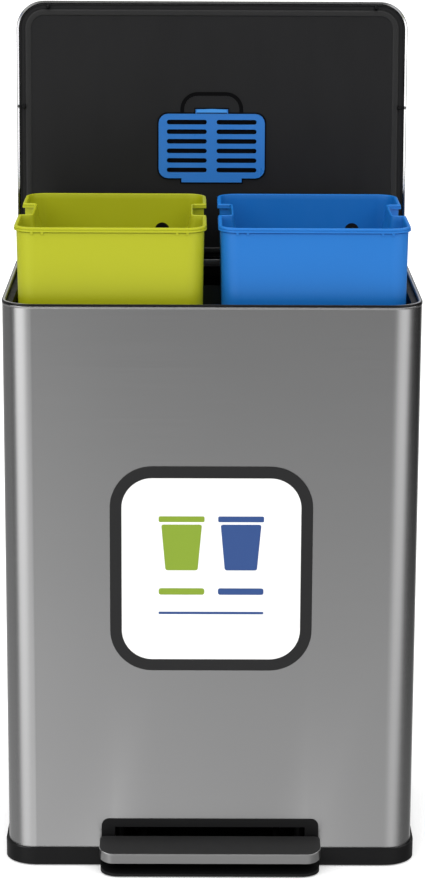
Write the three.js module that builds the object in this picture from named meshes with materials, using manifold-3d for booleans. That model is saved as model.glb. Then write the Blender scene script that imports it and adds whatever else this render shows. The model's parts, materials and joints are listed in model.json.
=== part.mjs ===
// Double recycling bin: a brushed steel body on a black base, two lift-out buckets,
// a pedal that works the hinged lid through two lift rods, and a scent filter inside the lid.
// Millimetres, +Z up. X runs from left to right and Y from the front to the back.
// Pieces are drawn with the steel front at Y = 0 and the floor at Z = 0, with the lid open and the
// buckets lifted. At the end the bin is moved so that the origin lies under the middle of its box.
import * as THREE from 'three';
import { mergeVertices } from 'three/addons/utils/BufferGeometryUtils.js';
import Module from 'manifold-3d';

const wasm = await Module();
wasm.setup();

// ---- Clearances ----
const seatGap = 0.3; // between two pieces that rest on each other
const boreGap = 0.3; // round a pin in its bore
const cutMargin = 1; // how far a cutting shape reaches past the face that it opens
const roundLess = 0.2; // round ends of a slot stop this short of a full half circle

// ---- Steel body and its rim ----
const bodyWidth = 490;
const bodyDepth = 327;
const bodyHeight = 690.6; // floor to the top of the rim bead
const bodyCorner = 35;
const steelWall = 0.8;
const beadHeight = 2.6;
const beadOut = 0.5; // how far the bead stands out of the steel
const beadIn = 2.2;

// ---- Black base with its foot under the pedal ----
const baseBottom = 1.5; // lifted off the floor by the pads
const baseFloor = 3;
const bandHeight = 22; // top of the band round the steel
const bandOut = 3.5;
const lipWall = 3; // lip inside the steel
const grooveBottom = 12; // where the steel stands in the base
const footHalf = 132;
const footReach = 41;
const footFrontTop = 5;
const footBackTop = 10;
const footCorner = 22;
const padRadius = 14;
const padRecess = 1.3;
const padInset = 42; // pad centres from the steel's faces
const frontPadX = 100;
const frontPadY = 19;

// ---- Collar inside the top of the steel ----
const collarWall = 2.9;
const deckDown = 3.8; // from the steel's edge down to the collar's deck
const collarSkirt = 29;
const deckThick = 3.4;
const deckSide = 9.9;
const deckFront = 13.9;
const deckBack = 30; // from the back of the steel to the opening
const openingLip = 12;
const openingLipWall = 2;
const openingCorner = 18;

// ---- Shelf that the buckets stand on ----
const shelfTop = 60;
const shelfThick = 3;
const shelfInset = 3; // from the inside of the steel
const legRadius = 7;
const legInsetX = 30;
const legInsetY = 40;
const legPastBracket = 16; // inner legs stand this far outside the axle's brackets

// ---- Buckets ----
const bucketGap = 3; // flange to the collar's opening
const bucketSpacing = 13.4; // between the two flanges
const bucketHeight = 589;
const bucketLift = 127.5; // how far the photographed buckets are lifted
const bucketWall = 2;
const bucketBottom = 2.5;
const bucketCorner = 25;
const bucketDraft = 0.0153; // each wall leans in by this much for each millimetre down
const flangeOut = 2.8;
const flangeHeight = 5.5;
const pocketLength = 91;
const pocketDeep = 14;
const pocketHigh = 34;
const pocketCorner = 6;
const pocketPast = 4; // how far the cut for a pocket reaches past the flange
const pocketShift = 6; // pocket's middle behind the bucket's middle
const tuckHoleRadius = 9;
const tuckHoleX = 57;
const tuckHoleDrop = 45;

// ---- Lid ----
const hingeBehind = 5; // hinge axis in front of the steel's back
const hingeBelow = 0.6; // hinge axis below the top of the rim
const lidOpenDegrees = 94.2;
const lidTop = 18; // above the hinge axis
const lidSkirt = 1; // lower edge of the steel above the axis
const lidRound = 4;
const lidHem = 3;
const rearSkirt = 7; // the back skirt stops higher, to clear the rim when the lid opens
const rearEdge = -1.6; // the lid's lower parts end this far behind the axis, or in front of it
const linerLow = 0.8;
const linerThick = 2.5;
const ridgeLow = -1;
const ridgeInset = 11;
const ridgeWidth = 6;
const bumperRadius = 3.2;
const bumperInsetX = 40;
const bumperRise = 0.4; // gap left above the collar when the lid is shut

// ---- Hinges, crank lugs, lift rods and damper ----
const rodInset = 40; // middle of a lift rod, from the side of the body
const earFromRod = 24; // middle of a hinge ear, from the lift rod
const earThick = 6;
const earRoot = 4; // radius of the ear's lower end
const earLean = 3; // the ear's lower end stands this far in front of the axis
const bracketPlateHalf = 15;
const bracketPlateTall = 20;
const bracketPlateUp = 2; // above the lower edge of the collar
const knuckleGap = 1.3;
const knuckleLong = 8.7;
const knuckleRadius = 3.6;
const pinRadius = 1.8;
const hingePlate = 2.2;
const hingePlateLong = 34;
const hingeCutDeep = 12; // the liner ends this far in front of the axis at the hinges
const hingeCutSide = 3;
const crankRadius = 18.5;
const crankThick = 4;
const crankPinRadius = 2;
const crankEnd = 4.5;
const crankRootGrow = 2; // the crank is this much wider at the plate than at the pin
const crankRootFront = 4; // and stands this far in front of the pin there
const plateFront = 1; // hinge plate in front of the knuckle
const rodThick = 4;
const rodDeep = 12;
const rodSideGap = 3; // crank lug to rod
const headPlay = 0.8; // play of the crank pin in the head's slot
const headWall = 2.7;
const damperFromRod = 75;
const damperRadius = 10;
const damperLong = 110;
const damperDown = 40.6; // top of the cylinder below the rim
const damperRodRadius = 3;
const damperRodIn = 75; // how deep the rod reaches into the cylinder at rest
const damperFloor = 5;
const clipWall = 3;
const clipHigh = 30;
const guideHigh = 16;
const guideWall = 4;

// ---- Pedal ----
const bezelHalf = 131;
const bezelTop = 59.5;
const bezelThick = 1.2;
const bezelCorner = 9;
const bezelSill = 2; // under the slot
const bezelSleeve = 6;
const slotHalf = 114.5;
const slotTop = 49;
const sleeveWall = 3.2;
const axleY = 120;
const axleZ = 30;
const axleRadius = 4;
const axlePast = 4.5; // the axle's ends outside its brackets
const armX = 80;
const armThick = 6;
const armHigh = 11;
const armMouthLow = 20; // underside of the arms where they leave the body
const bushHalf = 6;
const bushRadius = 8;
const bracketThick = 6;
const bracketEye = 9; // radius round the axle
const bracketRoot = 10; // radius at the foot
const bracketGap = 1.5;
const bracketFoot = 24;
const bracketFootHigh = 4;
const barRadius = 4;
const barRise = 8; // rear bar's axis above the axle, with the pedal pressed
const barPast = 8; // the bar reaches this far past each lift rod
const coverHalf = 133;
const coverLength = 37.9;
const coverHeight = 14;
const coverWall = 1.2;
const coverTilt = 12.8;
const coverBackY = -5;
const coverBackZ = 39;
const coverFrontCorner = 17;
const coverBackCorner = 7;
const coverBackSkirt = 4;
const paddleThick = 8;

// ---- Scent filter in the lid ----
const filterHalf = 67.6;
const filterLow = 100.5; // distances from the hinge axis, along the lid
const filterHigh = 182.6;
const filterThick = 3;
const filterCorner = 12;
const grilleRows = 6;
const grillePitch = 12.23;
const grilleSlot = 6;
const grilleSlotLong = 51;
const grilleMiddle = 31.7;
const latchHalf = 20.7;
const latchLong = 5.8;
const hingeTabHalf = 38.4;
const hingeTabLong = 5.2;
const tabRoot = 2; // how far the latch and the hinge tab reach into the cover
const cartridgeHalf = 58;
const cartridgeMargin = 9; // cartridge's ends inside the cover's ends
const cartridgeThick = 8;
const trayWall = 1.5;
const archHalf = 39.7;
const archHigh = 209.2;
const archStroke = 5;
const archCorner = 22;
const archDeep = 1.8;
const archSill = 0.5; // left between the arch and the filter cover

// ---- Plain badge on the front ----
const badgeHalf = 119.6;
const badgeLow = 248;
const badgeHigh = 498;
const badgeCorner = 50;
const badgeBorder = 13.6;
const badgeThick = 1.2;
const badgeFaceThick = 0.8;

// ---- Screws ----
const screwRadius = 2;
const screwHead = 3.6;
const screwHeadHigh = 1.5;
const screwLong = 3;
const screwEdge = 2; // from a screw's head to the end of its plate
const screwSide = 1; // and to the side of its plate

// ---- Places worked out from the sizes above ----
const halfWidth = bodyWidth / 2;
const rodX = halfWidth - rodInset;
const earX = rodX - earFromRod;
const damperX = rodX - damperFromRod;
const damperTop = bodyHeight - damperDown;
const collarInset = steelWall + seatGap;
const shellTop = bodyHeight - beadHeight - seatGap;
const deckTop = shellTop - deckDown;
const openHalf = halfWidth - collarInset - deckSide;
const openFront = collarInset + deckFront;
const openBack = bodyDepth - deckBack;
const baseTop = baseBottom + baseFloor;
const bucketOuter = openHalf - bucketGap;
const bucketInner = bucketSpacing / 2;
const bucketFront = openFront + bucketGap;
const bucketBack = openBack - bucketGap;
const bucketHomeLow = shelfTop + seatGap;
const bucketLow = bucketHomeLow + bucketLift;
const bucketRim = bucketLow + bucketHeight;
const hingeY = bodyDepth - hingeBehind;
const hingeZ = bodyHeight - hingeBelow;
const lidOpen = THREE.MathUtils.degToRad(lidOpenDegrees);
const crankAngle = lidOpen / 2; // the crank swings as far below the axis as above it
const crankPinAlong = crankRadius * Math.cos(crankAngle);
const crankPinDown = crankRadius * Math.sin(crankAngle);
const rodY = hingeY - crankPinAlong;
const rodPinZ = hingeZ + crankPinDown;
const barZ = axleZ + barRise;
const guideZ = (barZ + rodPinZ) / 2;
const bracketX = armX + bushHalf + bracketGap;
const axleHalf = bracketX + bracketThick + axlePast;
const hingeZoneLow = earX - earThick / 2 - knuckleGap - knuckleLong;
const hingeZoneHigh = rodX - rodThick / 2 - rodSideGap;

// ---- Shapes, in the plane that the caller gives them ----

// A rectangle with its own radius at each corner, from the lower left one anticlockwise.
function roundedRect(left, low, right, high, radii) {
  const [a, b, c, d] = Array.isArray(radii) ? radii : [radii, radii, radii, radii];
  const quarter = Math.PI / 2;
  const shape = new THREE.Shape();
  shape.moveTo(left + a, low);
  shape.lineTo(right - b, low);
  if (b > 0) shape.absarc(right - b, low + b, b, -quarter, 0, false);
  shape.lineTo(right, high - c);
  if (c > 0) shape.absarc(right - c, high - c, c, 0, quarter, false);
  shape.lineTo(left + d, high);
  if (d > 0) shape.absarc(left + d, high - d, d, quarter, 2 * quarter, false);
  shape.lineTo(left, low + a);
  if (a > 0) shape.absarc(left + a, low + a, a, 2 * quarter, 3 * quarter, false);
  return shape;
}

// The body's outline in plan, grown by `out` all round, or shrunk where `out` is negative.
function bodyOutline(out) {
  return roundedRect(-halfWidth - out, -out, halfWidth + out, bodyDepth + out, bodyCorner + out);
}

function circle(x, y, radius) {
  return new THREE.Shape().absarc(x, y, radius, 0, 2 * Math.PI, false);
}

// Two circles with straight flanks from one to the other.
function link(x0, y0, r0, x1, y1, r1) {
  const along = Math.atan2(y1 - y0, x1 - x0);
  const spread = Math.acos((r0 - r1) / Math.hypot(x1 - x0, y1 - y0));
  const shape = new THREE.Shape();
  shape.absarc(x0, y0, r0, along + spread, along + 2 * Math.PI - spread, false);
  shape.absarc(x1, y1, r1, along - spread, along + spread, false);
  return shape;
}

function polygon(points) {
  return new THREE.Shape(points.map(([x, y]) => new THREE.Vector2(x, y)));
}

// ---- Solids ----

const arcSteps = 4; // a quarter turn has twice as many flats
const slotSteps = 2; // and half as many round a small slot
const bevelSteps = 4;
const weldDistance = 1e-4;

// A plan shape (X, Y), from zLow up.
function flat(shape, zLow, height, steps = arcSteps) {
  const geometry = new THREE.ExtrudeGeometry(shape, {
    depth: height,
    bevelEnabled: false,
    curveSegments: steps,
  });
  return geometry.translate(0, 0, zLow);
}

// A side profile (Y, Z), from xLow to the right.
function sideways(shape, xLow, width, steps = arcSteps) {
  const turn = new THREE.Matrix4().makeBasis(
    new THREE.Vector3(0, 1, 0),
    new THREE.Vector3(0, 0, 1),
    new THREE.Vector3(1, 0, 0),
  );
  return flat(shape, 0, width, steps).applyMatrix4(turn).translate(xLow, 0, 0);
}

// A front view (X, Z), from yBack towards the front.
function upright(shape, yBack, thickness, steps = arcSteps) {
  const turn = new THREE.Matrix4().makeBasis(
    new THREE.Vector3(1, 0, 0),
    new THREE.Vector3(0, 0, 1),
    new THREE.Vector3(0, -1, 0),
  );
  return flat(shape, 0, thickness, steps).applyMatrix4(turn).translate(0, yBack, 0);
}

function block(x0, x1, y0, y1, z0, z1) {
  const geometry = new THREE.BoxGeometry(x1 - x0, y1 - y0, z1 - z0);
  return geometry.translate((x0 + x1) / 2, (y0 + y1) / 2, (z0 + z1) / 2);
}

function toSolid(geometry) {
  const plain = geometry.clone();
  plain.deleteAttribute('normal');
  plain.deleteAttribute('uv');
  const merged = mergeVertices(plain, weldDistance);
  return new wasm.Manifold(new wasm.Mesh({
    numProp: 3,
    vertProperties: new Float32Array(merged.attributes.position.array),
    triVerts: new Uint32Array(merged.index.array),
  }));
}

function toGeometry(solid) {
  const mesh = solid.getMesh();
  const geometry = new THREE.BufferGeometry();
  geometry.setAttribute('position', new THREE.BufferAttribute(mesh.vertProperties, 3));
  geometry.setIndex(new THREE.BufferAttribute(mesh.triVerts, 1));
  geometry.computeVertexNormals();
  return geometry;
}

function join(...pieces) {
  return toGeometry(pieces.map(toSolid).reduce((whole, piece) => whole.add(piece)));
}

function cut(whole, ...tools) {
  return toGeometry(tools.map(toSolid).reduce((rest, tool) => rest.subtract(tool), toSolid(whole)));
}

// The same piece on the other side of the bin.
function mirrored(geometry) {
  const other = toGeometry(toSolid(geometry)).scale(-1, 1, 1);
  const index = other.index.array;
  for (let i = 0; i < index.length; i += 3) {
    [index[i], index[i + 1]] = [index[i + 1], index[i]];
  }
  other.computeVertexNormals();
  return other;
}

// A screw with its head's underside at Z = 0, pointing down.
function screw() {
  return join(
    flat(circle(0, 0, screwHead), 0, screwHeadHigh, arcSteps),
    flat(circle(0, 0, screwRadius), -screwLong, screwLong + screwHeadHigh / 2, arcSteps),
  );
}

// ---- Materials ----

function finish(color, roughness, metalness) {
  return new THREE.MeshStandardMaterial({ color, roughness, metalness });
}

const brushedSteel = () => finish(0x8c8c8c, 0.35, 1);
const zincSteel = () => finish(0xa8acb0, 0.4, 0.9);
const blackPlastic = () => finish(0x1d1d1f, 0.55, 0);
const greyPlastic = () => finish(0x2d2d2f, 0.6, 0);
const rubber = () => finish(0x141414, 0.85, 0);
const greenPlastic = () => finish(0xb5bd33, 0.45, 0);
const bluePlastic = () => finish(0x307ccd, 0.45, 0);

const bin = new THREE.Group();
const lid = new THREE.Group();
lid.position.set(0, hingeY, hingeZ);
lid.rotation.x = -lidOpen;
bin.add(lid);

function addPiece(group, name, geometry, material) {
  const mesh = new THREE.Mesh(geometry, material);
  mesh.name = name;
  group.add(mesh);
}

// ---- Base, feet and shelf ----

const padPlaces = [
  [-halfWidth + padInset, padInset],
  [halfWidth - padInset, padInset],
  [-halfWidth + padInset, bodyDepth - padInset],
  [halfWidth - padInset, bodyDepth - padInset],
  [-frontPadX, -frontPadY],
  [frontPadX, -frontPadY],
];

function basePiece() {
  const foot = flat(
    roundedRect(-footHalf, -footReach, footHalf, lipWall, [footCorner, footCorner, 0, 0]),
    baseBottom,
    footBackTop - baseBottom,
  );
  const slope = sideways(
    polygon([
      [-footReach - cutMargin, footFrontTop],
      [-footReach, footFrontTop],
      [-bandOut, footBackTop],
      [-bandOut, footBackTop + cutMargin],
      [-footReach - cutMargin, footBackTop + cutMargin],
    ]),
    -footHalf - cutMargin,
    2 * (footHalf + cutMargin),
  );
  const tub = flat(bodyOutline(bandOut), baseBottom, bandHeight - baseBottom);
  const groove = cut(
    flat(bodyOutline(seatGap), grooveBottom, bandHeight),
    flat(bodyOutline(-collarInset), grooveBottom - cutMargin, bandHeight + 2 * cutMargin),
  );
  const hollow = flat(bodyOutline(-collarInset - lipWall), baseTop, bandHeight);
  const pedalNotch = block(
    -bezelHalf - seatGap,
    bezelHalf + seatGap,
    -bandOut - cutMargin,
    0,
    footBackTop,
    bandHeight + cutMargin,
  );
  const sleeveNotch = block(
    -slotHalf - sleeveWall - seatGap,
    slotHalf + sleeveWall + seatGap,
    -cutMargin,
    bezelSleeve + seatGap,
    footBackTop,
    bandHeight + cutMargin,
  );
  const recesses = padPlaces.map(([x, y]) => (
    flat(circle(x, y, padRadius + seatGap), baseBottom - cutMargin, cutMargin + padRecess)
  ));
  return cut(join(tub, cut(foot, slope)), groove, hollow, pedalNotch, sleeveNotch, ...recesses);
}

addPiece(bin, 'base', basePiece(), blackPlastic());
padPlaces.forEach(([x, y], i) => {
  const pad = flat(circle(x, y, padRadius), 0, baseBottom + padRecess - seatGap);
  addPiece(bin, `floor_pad_${i + 1}`, pad, rubber());
});

const innerLegX = bracketX + bracketThick + legPastBracket;
const legPlaces = [
  [-halfWidth + legInsetX, legInsetY],
  [halfWidth - legInsetX, legInsetY],
  [-halfWidth + legInsetX, bodyDepth - 2 * legInsetY],
  [halfWidth - legInsetX, bodyDepth - 2 * legInsetY],
  [-innerLegX, legInsetY],
  [innerLegX, legInsetY],
  [-innerLegX, bodyDepth - 2 * legInsetY],
  [innerLegX, bodyDepth - 2 * legInsetY],
];

function shelfPiece() {
  const plate = flat(bodyOutline(-steelWall - shelfInset), shelfTop - shelfThick, shelfThick);
  const legs = legPlaces.map(([x, y]) => (
    flat(circle(x, y, legRadius), baseTop + seatGap, shelfTop - baseTop - seatGap - shelfThick / 2)
  ));
  const rodHoles = [-rodX, rodX].map((x) => block(
    x - rodThick / 2 - knuckleGap,
    x + rodThick / 2 + knuckleGap,
    rodY - rodDeep / 2 - knuckleGap,
    rodY + rodDeep / 2 + knuckleGap,
    shelfTop - shelfThick - cutMargin,
    shelfTop + cutMargin,
  ));
  return cut(join(plate, ...legs), ...rodHoles);
}

addPiece(bin, 'bucket_shelf', shelfPiece(), blackPlastic());

// ---- Steel body, rim bead and collar ----

function bodyShellPiece() {
  const low = grooveBottom + seatGap;
  const window = block(
    -slotHalf - sleeveWall - seatGap,
    slotHalf + sleeveWall + seatGap,
    -cutMargin,
    steelWall + cutMargin,
    low - cutMargin,
    slotTop + sleeveWall + seatGap,
  );
  return cut(
    flat(bodyOutline(0), low, shellTop - low),
    flat(bodyOutline(-steelWall), low - cutMargin, shellTop - low + 2 * cutMargin),
    window,
  );
}

// The bead is thinner along the back, where the lid and its hinges turn past it.
function rimBeadPiece() {
  const low = bodyHeight - beadHeight - cutMargin;
  const high = bodyHeight + cutMargin;
  const straight = halfWidth - bodyCorner;
  return cut(
    flat(bodyOutline(beadOut), bodyHeight - beadHeight, beadHeight),
    flat(bodyOutline(-beadIn), low, high - low),
    block(-straight, straight, bodyDepth - beadIn - cutMargin, bodyDepth - steelWall, low, high),
  );
}

function collarPiece() {
  const low = deckTop - collarSkirt;
  const opening = (out) => roundedRect(
    -openHalf - out,
    openFront - out,
    openHalf + out,
    openBack + out,
    openingCorner + out,
  );
  const skirt = cut(
    flat(bodyOutline(-collarInset), low, collarSkirt),
    flat(bodyOutline(-collarInset - collarWall), low - cutMargin, collarSkirt - deckThick + cutMargin),
  );
  const lip = flat(opening(openingLipWall), deckTop - openingLip, openingLip - deckThick / 2);
  const through = flat(opening(0), low - cutMargin, collarSkirt + 2 * cutMargin);
  const backInside = bodyDepth - collarInset - collarWall;
  const notch = (x0, x1) => block(
    x0,
    x1,
    openBack - cutMargin,
    backInside,
    deckTop - openingLip - cutMargin,
    deckTop + cutMargin,
  );
  const hingeNotchLow = hingeZoneLow - knuckleGap;
  const hingeNotchHigh = rodX + rodThick / 2 + rodSideGap + crankThick;
  return cut(
    join(skirt, lip),
    through,
    notch(hingeNotchLow, hingeNotchHigh),
    notch(-hingeNotchHigh, -hingeNotchLow),
    notch(damperX - 2 * damperRadius, damperX + 2 * damperRadius),
  );
}

addPiece(bin, 'body_shell', bodyShellPiece(), brushedSteel());
addPiece(bin, 'rim_bead', rimBeadPiece(), blackPlastic());
addPiece(bin, 'top_collar', collarPiece(), blackPlastic());

// ---- Pedal window, pedal and its lever ----

function bezelPiece() {
  const low = footBackTop + seatGap;
  const sleeveHalf = slotHalf + sleeveWall;
  const plate = upright(
    roundedRect(-bezelHalf, low, bezelHalf, bezelTop, [0, 0, bezelCorner, bezelCorner]),
    -seatGap,
    bezelThick,
  );
  const sleeve = block(
    -sleeveHalf,
    sleeveHalf,
    -seatGap - bezelThick / 2,
    bezelSleeve,
    low,
    slotTop + sleeveWall,
  );
  const slot = block(
    -slotHalf,
    slotHalf,
    -seatGap - bezelThick - cutMargin,
    bezelSleeve + cutMargin,
    low + bezelSill,
    slotTop,
  );
  return cut(join(plate, sleeve), slot);
}

const tiltPedal = new THREE.Matrix4()
  .makeTranslation(0, coverBackY, coverBackZ)
  .multiply(new THREE.Matrix4().makeRotationX(THREE.MathUtils.degToRad(coverTilt)));

function pedalPlan(inset) {
  const front = coverFrontCorner - inset;
  const back = coverBackCorner - inset;
  return roundedRect(
    -coverHalf + inset,
    -coverLength + inset,
    coverHalf - inset,
    -inset,
    [front, front, back, back],
  );
}

function pedalCoverPiece() {
  const skin = flat(pedalPlan(0), -coverHeight, coverHeight);
  const hollow = flat(pedalPlan(coverWall), -coverHeight - cutMargin, coverHeight + cutMargin - coverWall);
  const backCut = block(
    -coverHalf - cutMargin,
    coverHalf + cutMargin,
    -coverBackCorner,
    cutMargin,
    -coverHeight - cutMargin,
    -coverBackSkirt,
  );
  return cut(skin, hollow, backCut).applyMatrix4(tiltPedal);
}

function pedalLeverPiece() {
  const paddleTop = -coverWall - seatGap;
  const paddle = flat(pedalPlan(coverWall + seatGap), paddleTop - paddleThick, paddleThick)
    .applyMatrix4(tiltPedal);
  const mouthTop = armMouthLow + armHigh;
  const paddleBack = coverBackY - coverBackCorner;
  const arms = [-armX, armX].flatMap((x) => [
    sideways(
      polygon([
        [paddleBack, armMouthLow + armHigh / 2],
        [0, armMouthLow],
        [axleY, axleZ - armHigh / 2],
        [rodY, barZ - barRadius / 2],
        [rodY, barZ + barRadius / 2],
        [axleY, axleZ + armHigh / 2],
        [0, mouthTop],
        [paddleBack, mouthTop],
      ]),
      x - armThick / 2,
      armThick,
    ),
    sideways(circle(axleY, axleZ, bushRadius), x - bushHalf, 2 * bushHalf),
  ]);
  const barHalf = rodX + barPast;
  const bar = sideways(circle(rodY, barZ, barRadius), -barHalf, 2 * barHalf);
  const bore = sideways(circle(axleY, axleZ, axleRadius + boreGap), -axleHalf, 2 * axleHalf, 2 * arcSteps);
  return cut(join(paddle, ...arms, bar), bore);
}

function axleBracketPiece() {
  const low = baseTop + seatGap;
  const footLow = axleY - bracketFoot;
  const footHigh = axleY + bracketFoot;
  const wall = sideways(
    link(axleY, axleZ, bracketEye, axleY, low + bracketRoot, bracketRoot),
    bracketX,
    bracketThick,
  );
  const foot = block(bracketX, bracketX + bracketThick, footLow, footHigh, low, low + bracketFootHigh);
  const bore = sideways(
    circle(axleY, axleZ, axleRadius + boreGap),
    bracketX - cutMargin,
    bracketThick + 2 * cutMargin,
    2 * arcSteps,
  );
  const screwHoles = bracketScrewPlaces().map(([x, y]) => (
    flat(circle(x, y, screwRadius + boreGap), low - cutMargin, bracketFootHigh + 2 * cutMargin)
  ));
  return cut(join(wall, foot), bore, ...screwHoles);
}

function bracketScrewPlaces() {
  const x = bracketX + bracketThick / 2;
  const away = bracketFoot - screwHead - cutMargin;
  return [[x, axleY - away], [x, axleY + away]];
}

const axleBracket = axleBracketPiece();
const bracketScrewZ = baseTop + seatGap + bracketFootHigh + boreGap;
const pedalAxle = sideways(circle(axleY, axleZ, axleRadius), -axleHalf, 2 * axleHalf, 2 * arcSteps);

addPiece(bin, 'pedal_bezel', bezelPiece(), blackPlastic());
addPiece(bin, 'pedal_cover', pedalCoverPiece(), brushedSteel());
addPiece(bin, 'pedal_lever', pedalLeverPiece(), blackPlastic());
addPiece(bin, 'pedal_axle', pedalAxle, zincSteel());
addPiece(bin, 'axle_bracket_right', axleBracket, zincSteel());
addPiece(bin, 'axle_bracket_left', mirrored(axleBracket), zincSteel());
[-1, 1].flatMap((side) => bracketScrewPlaces().map(([x, y]) => [side * x, y])).forEach(([x, y], i) => {
  addPiece(bin, `bracket_screw_${i + 1}`, screw().translate(x, y, bracketScrewZ), zincSteel());
});

// ---- Hinge brackets on the collar, and their pins ----

const bracketBack = bodyDepth - collarInset - collarWall - seatGap;
const bracketPlateLow = deckTop - collarSkirt + bracketPlateUp;

function hingeBracketPiece() {
  const plate = block(
    earX - bracketPlateHalf,
    earX + bracketPlateHalf,
    bracketBack - hingePlate,
    bracketBack,
    bracketPlateLow,
    bracketPlateLow + bracketPlateTall,
  );
  const ear = sideways(
    link(hingeY, hingeZ, knuckleRadius, hingeY - earLean, bracketPlateLow + earRoot, earRoot),
    earX - earThick / 2,
    earThick,
  );
  const bore = sideways(
    circle(hingeY, hingeZ, pinRadius + boreGap),
    earX - earThick,
    2 * earThick,
    2 * arcSteps,
  );
  const behind = block(
    earX - earThick,
    earX + earThick,
    bracketBack,
    bodyDepth + beadOut,
    bracketPlateLow - cutMargin,
    deckTop + seatGap,
  );
  return cut(join(plate, ear), bore, behind);
}

const hingeBracket = hingeBracketPiece();
const hingePin = sideways(
  circle(hingeY, hingeZ, pinRadius),
  hingeZoneLow,
  hingeZoneHigh - hingeZoneLow,
  2 * arcSteps,
);
addPiece(bin, 'hinge_bracket_right', hingeBracket, zincSteel());
addPiece(bin, 'hinge_bracket_left', mirrored(hingeBracket), zincSteel());

// ---- Lift rods, their guides, and the damper ----

// A slotted head round the crank pin. The slot is as long as the pin's travel along Y.
function rodHead(x) {
  const slotBack = rodY + crankPinRadius + headPlay;
  const slotFront = hingeY - crankRadius - crankPinRadius - headPlay;
  const slotHalfHigh = crankPinRadius + headPlay;
  const plate = sideways(
    roundedRect(
      slotFront - headWall,
      rodPinZ - slotHalfHigh - headWall,
      slotBack + headWall,
      rodPinZ + slotHalfHigh + headWall,
      headWall,
    ),
    x - rodThick / 2,
    rodThick,
  );
  const slotRound = slotHalfHigh - roundLess;
  const slot = sideways(
    roundedRect(slotFront, rodPinZ - slotHalfHigh, slotBack, rodPinZ + slotHalfHigh, slotRound),
    x - rodThick / 2 - cutMargin,
    rodThick + 2 * cutMargin,
  );
  return { plate, slot };
}

const headLow = rodPinZ - crankPinRadius - headPlay - headWall;

function liftRodPiece() {
  const { plate, slot } = rodHead(rodX);
  const bar = block(
    rodX - rodThick / 2,
    rodX + rodThick / 2,
    rodY - rodDeep / 2,
    rodY + rodDeep / 2,
    barZ + barRadius + seatGap,
    headLow + headWall / 2,
  );
  return cut(join(bar, plate), slot);
}

function rodGuidePiece() {
  const half = rodThick / 2 + boreGap;
  const body = block(
    rodX - half - guideWall,
    rodX + half + guideWall,
    rodY - rodDeep / 2 - boreGap - guideWall,
    bodyDepth - steelWall - seatGap,
    guideZ - guideHigh / 2,
    guideZ + guideHigh / 2,
  );
  const hole = block(
    rodX - half,
    rodX + half,
    rodY - rodDeep / 2 - boreGap,
    rodY + rodDeep / 2 + boreGap,
    guideZ - guideHigh / 2 - cutMargin,
    guideZ + guideHigh / 2 + cutMargin,
  );
  return cut(body, hole);
}

function damperCylinderPiece() {
  const low = damperTop - damperLong;
  return cut(
    flat(circle(damperX, rodY, damperRadius), low, damperLong, 2 * arcSteps),
    flat(circle(damperX, rodY, damperRodRadius + boreGap), low + damperFloor, damperLong, 2 * arcSteps),
  );
}

function damperRodPiece() {
  const { plate, slot } = rodHead(damperX);
  const rod = flat(
    circle(damperX, rodY, damperRodRadius),
    damperTop - damperRodIn,
    headLow + headWall / 2 - damperTop + damperRodIn,
    2 * arcSteps,
  );
  return cut(join(rod, plate), slot);
}

function damperClipPiece() {
  const middle = damperTop - damperLong / 2;
  const back = bodyDepth - steelWall - seatGap;
  const outer = damperRadius + boreGap + clipWall;
  return cut(
    join(
      flat(circle(damperX, rodY, outer), middle - clipHigh / 2, clipHigh, 2 * arcSteps),
      block(damperX - outer, damperX + outer, rodY, back, middle - clipHigh / 2, middle + clipHigh / 2),
    ),
    flat(circle(damperX, rodY, damperRadius + boreGap), middle - clipHigh, 2 * clipHigh, 2 * arcSteps),
  );
}

const liftRod = liftRodPiece();
const rodGuide = rodGuidePiece();
addPiece(bin, 'lift_rod_right', liftRod, zincSteel());
addPiece(bin, 'lift_rod_left', mirrored(liftRod), zincSteel());
addPiece(bin, 'rod_guide_right', rodGuide, blackPlastic());
addPiece(bin, 'rod_guide_left', mirrored(rodGuide), blackPlastic());
addPiece(bin, 'damper_cylinder', damperCylinderPiece(), blackPlastic());
addPiece(bin, 'damper_rod', damperRodPiece(), zincSteel());
addPiece(bin, 'damper_clip', damperClipPiece(), blackPlastic());

// ---- Lid, drawn shut, with the hinge axis at the origin ----

const lidFront = -hingeY;
const lidBack = hingeBehind;

function lidOutline(inset) {
  return roundedRect(
    -halfWidth + inset,
    lidFront + inset,
    halfWidth - inset,
    lidBack - inset,
    bodyCorner - inset,
  );
}

// A solid with a round upper edge, inside the lid's outline by `inset`, with its top that much lower.
function lidPan(inset) {
  return new THREE.ExtrudeGeometry(lidOutline(inset), {
    depth: lidTop - lidSkirt,
    bevelEnabled: true,
    bevelThickness: lidRound,
    bevelSize: lidRound,
    bevelOffset: -lidRound,
    bevelSegments: bevelSteps,
    curveSegments: arcSteps,
  }).translate(0, 0, lidSkirt - lidRound - inset);
}

function lidShellPiece() {
  const below = block(
    -bodyWidth,
    bodyWidth,
    -bodyDepth * 2,
    bodyDepth,
    -bodyDepth,
    lidSkirt,
  );
  const hem = cut(
    flat(lidOutline(steelWall / 2), lidSkirt, steelWall),
    flat(lidOutline(lidHem), lidSkirt - cutMargin, steelWall + 2 * cutMargin),
  );
  const rear = block(-bodyWidth, bodyWidth, rearEdge, bodyDepth, -cutMargin, rearSkirt);
  return cut(join(cut(lidPan(0), lidPan(steelWall), below), hem), rear);
}

// The filter's tray stands behind the liner, and the cartridge lies in it.
const cartridgeLow = filterLow + cartridgeMargin;
const cartridgeHigh = filterHigh - cartridgeMargin;
const cartridgeBottom = linerLow + seatGap;

function hingeCut(x0, x1) {
  return block(x0, x1, -hingeCutDeep, lidBack, ridgeLow - cutMargin, linerLow + linerThick + cutMargin);
}

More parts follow.
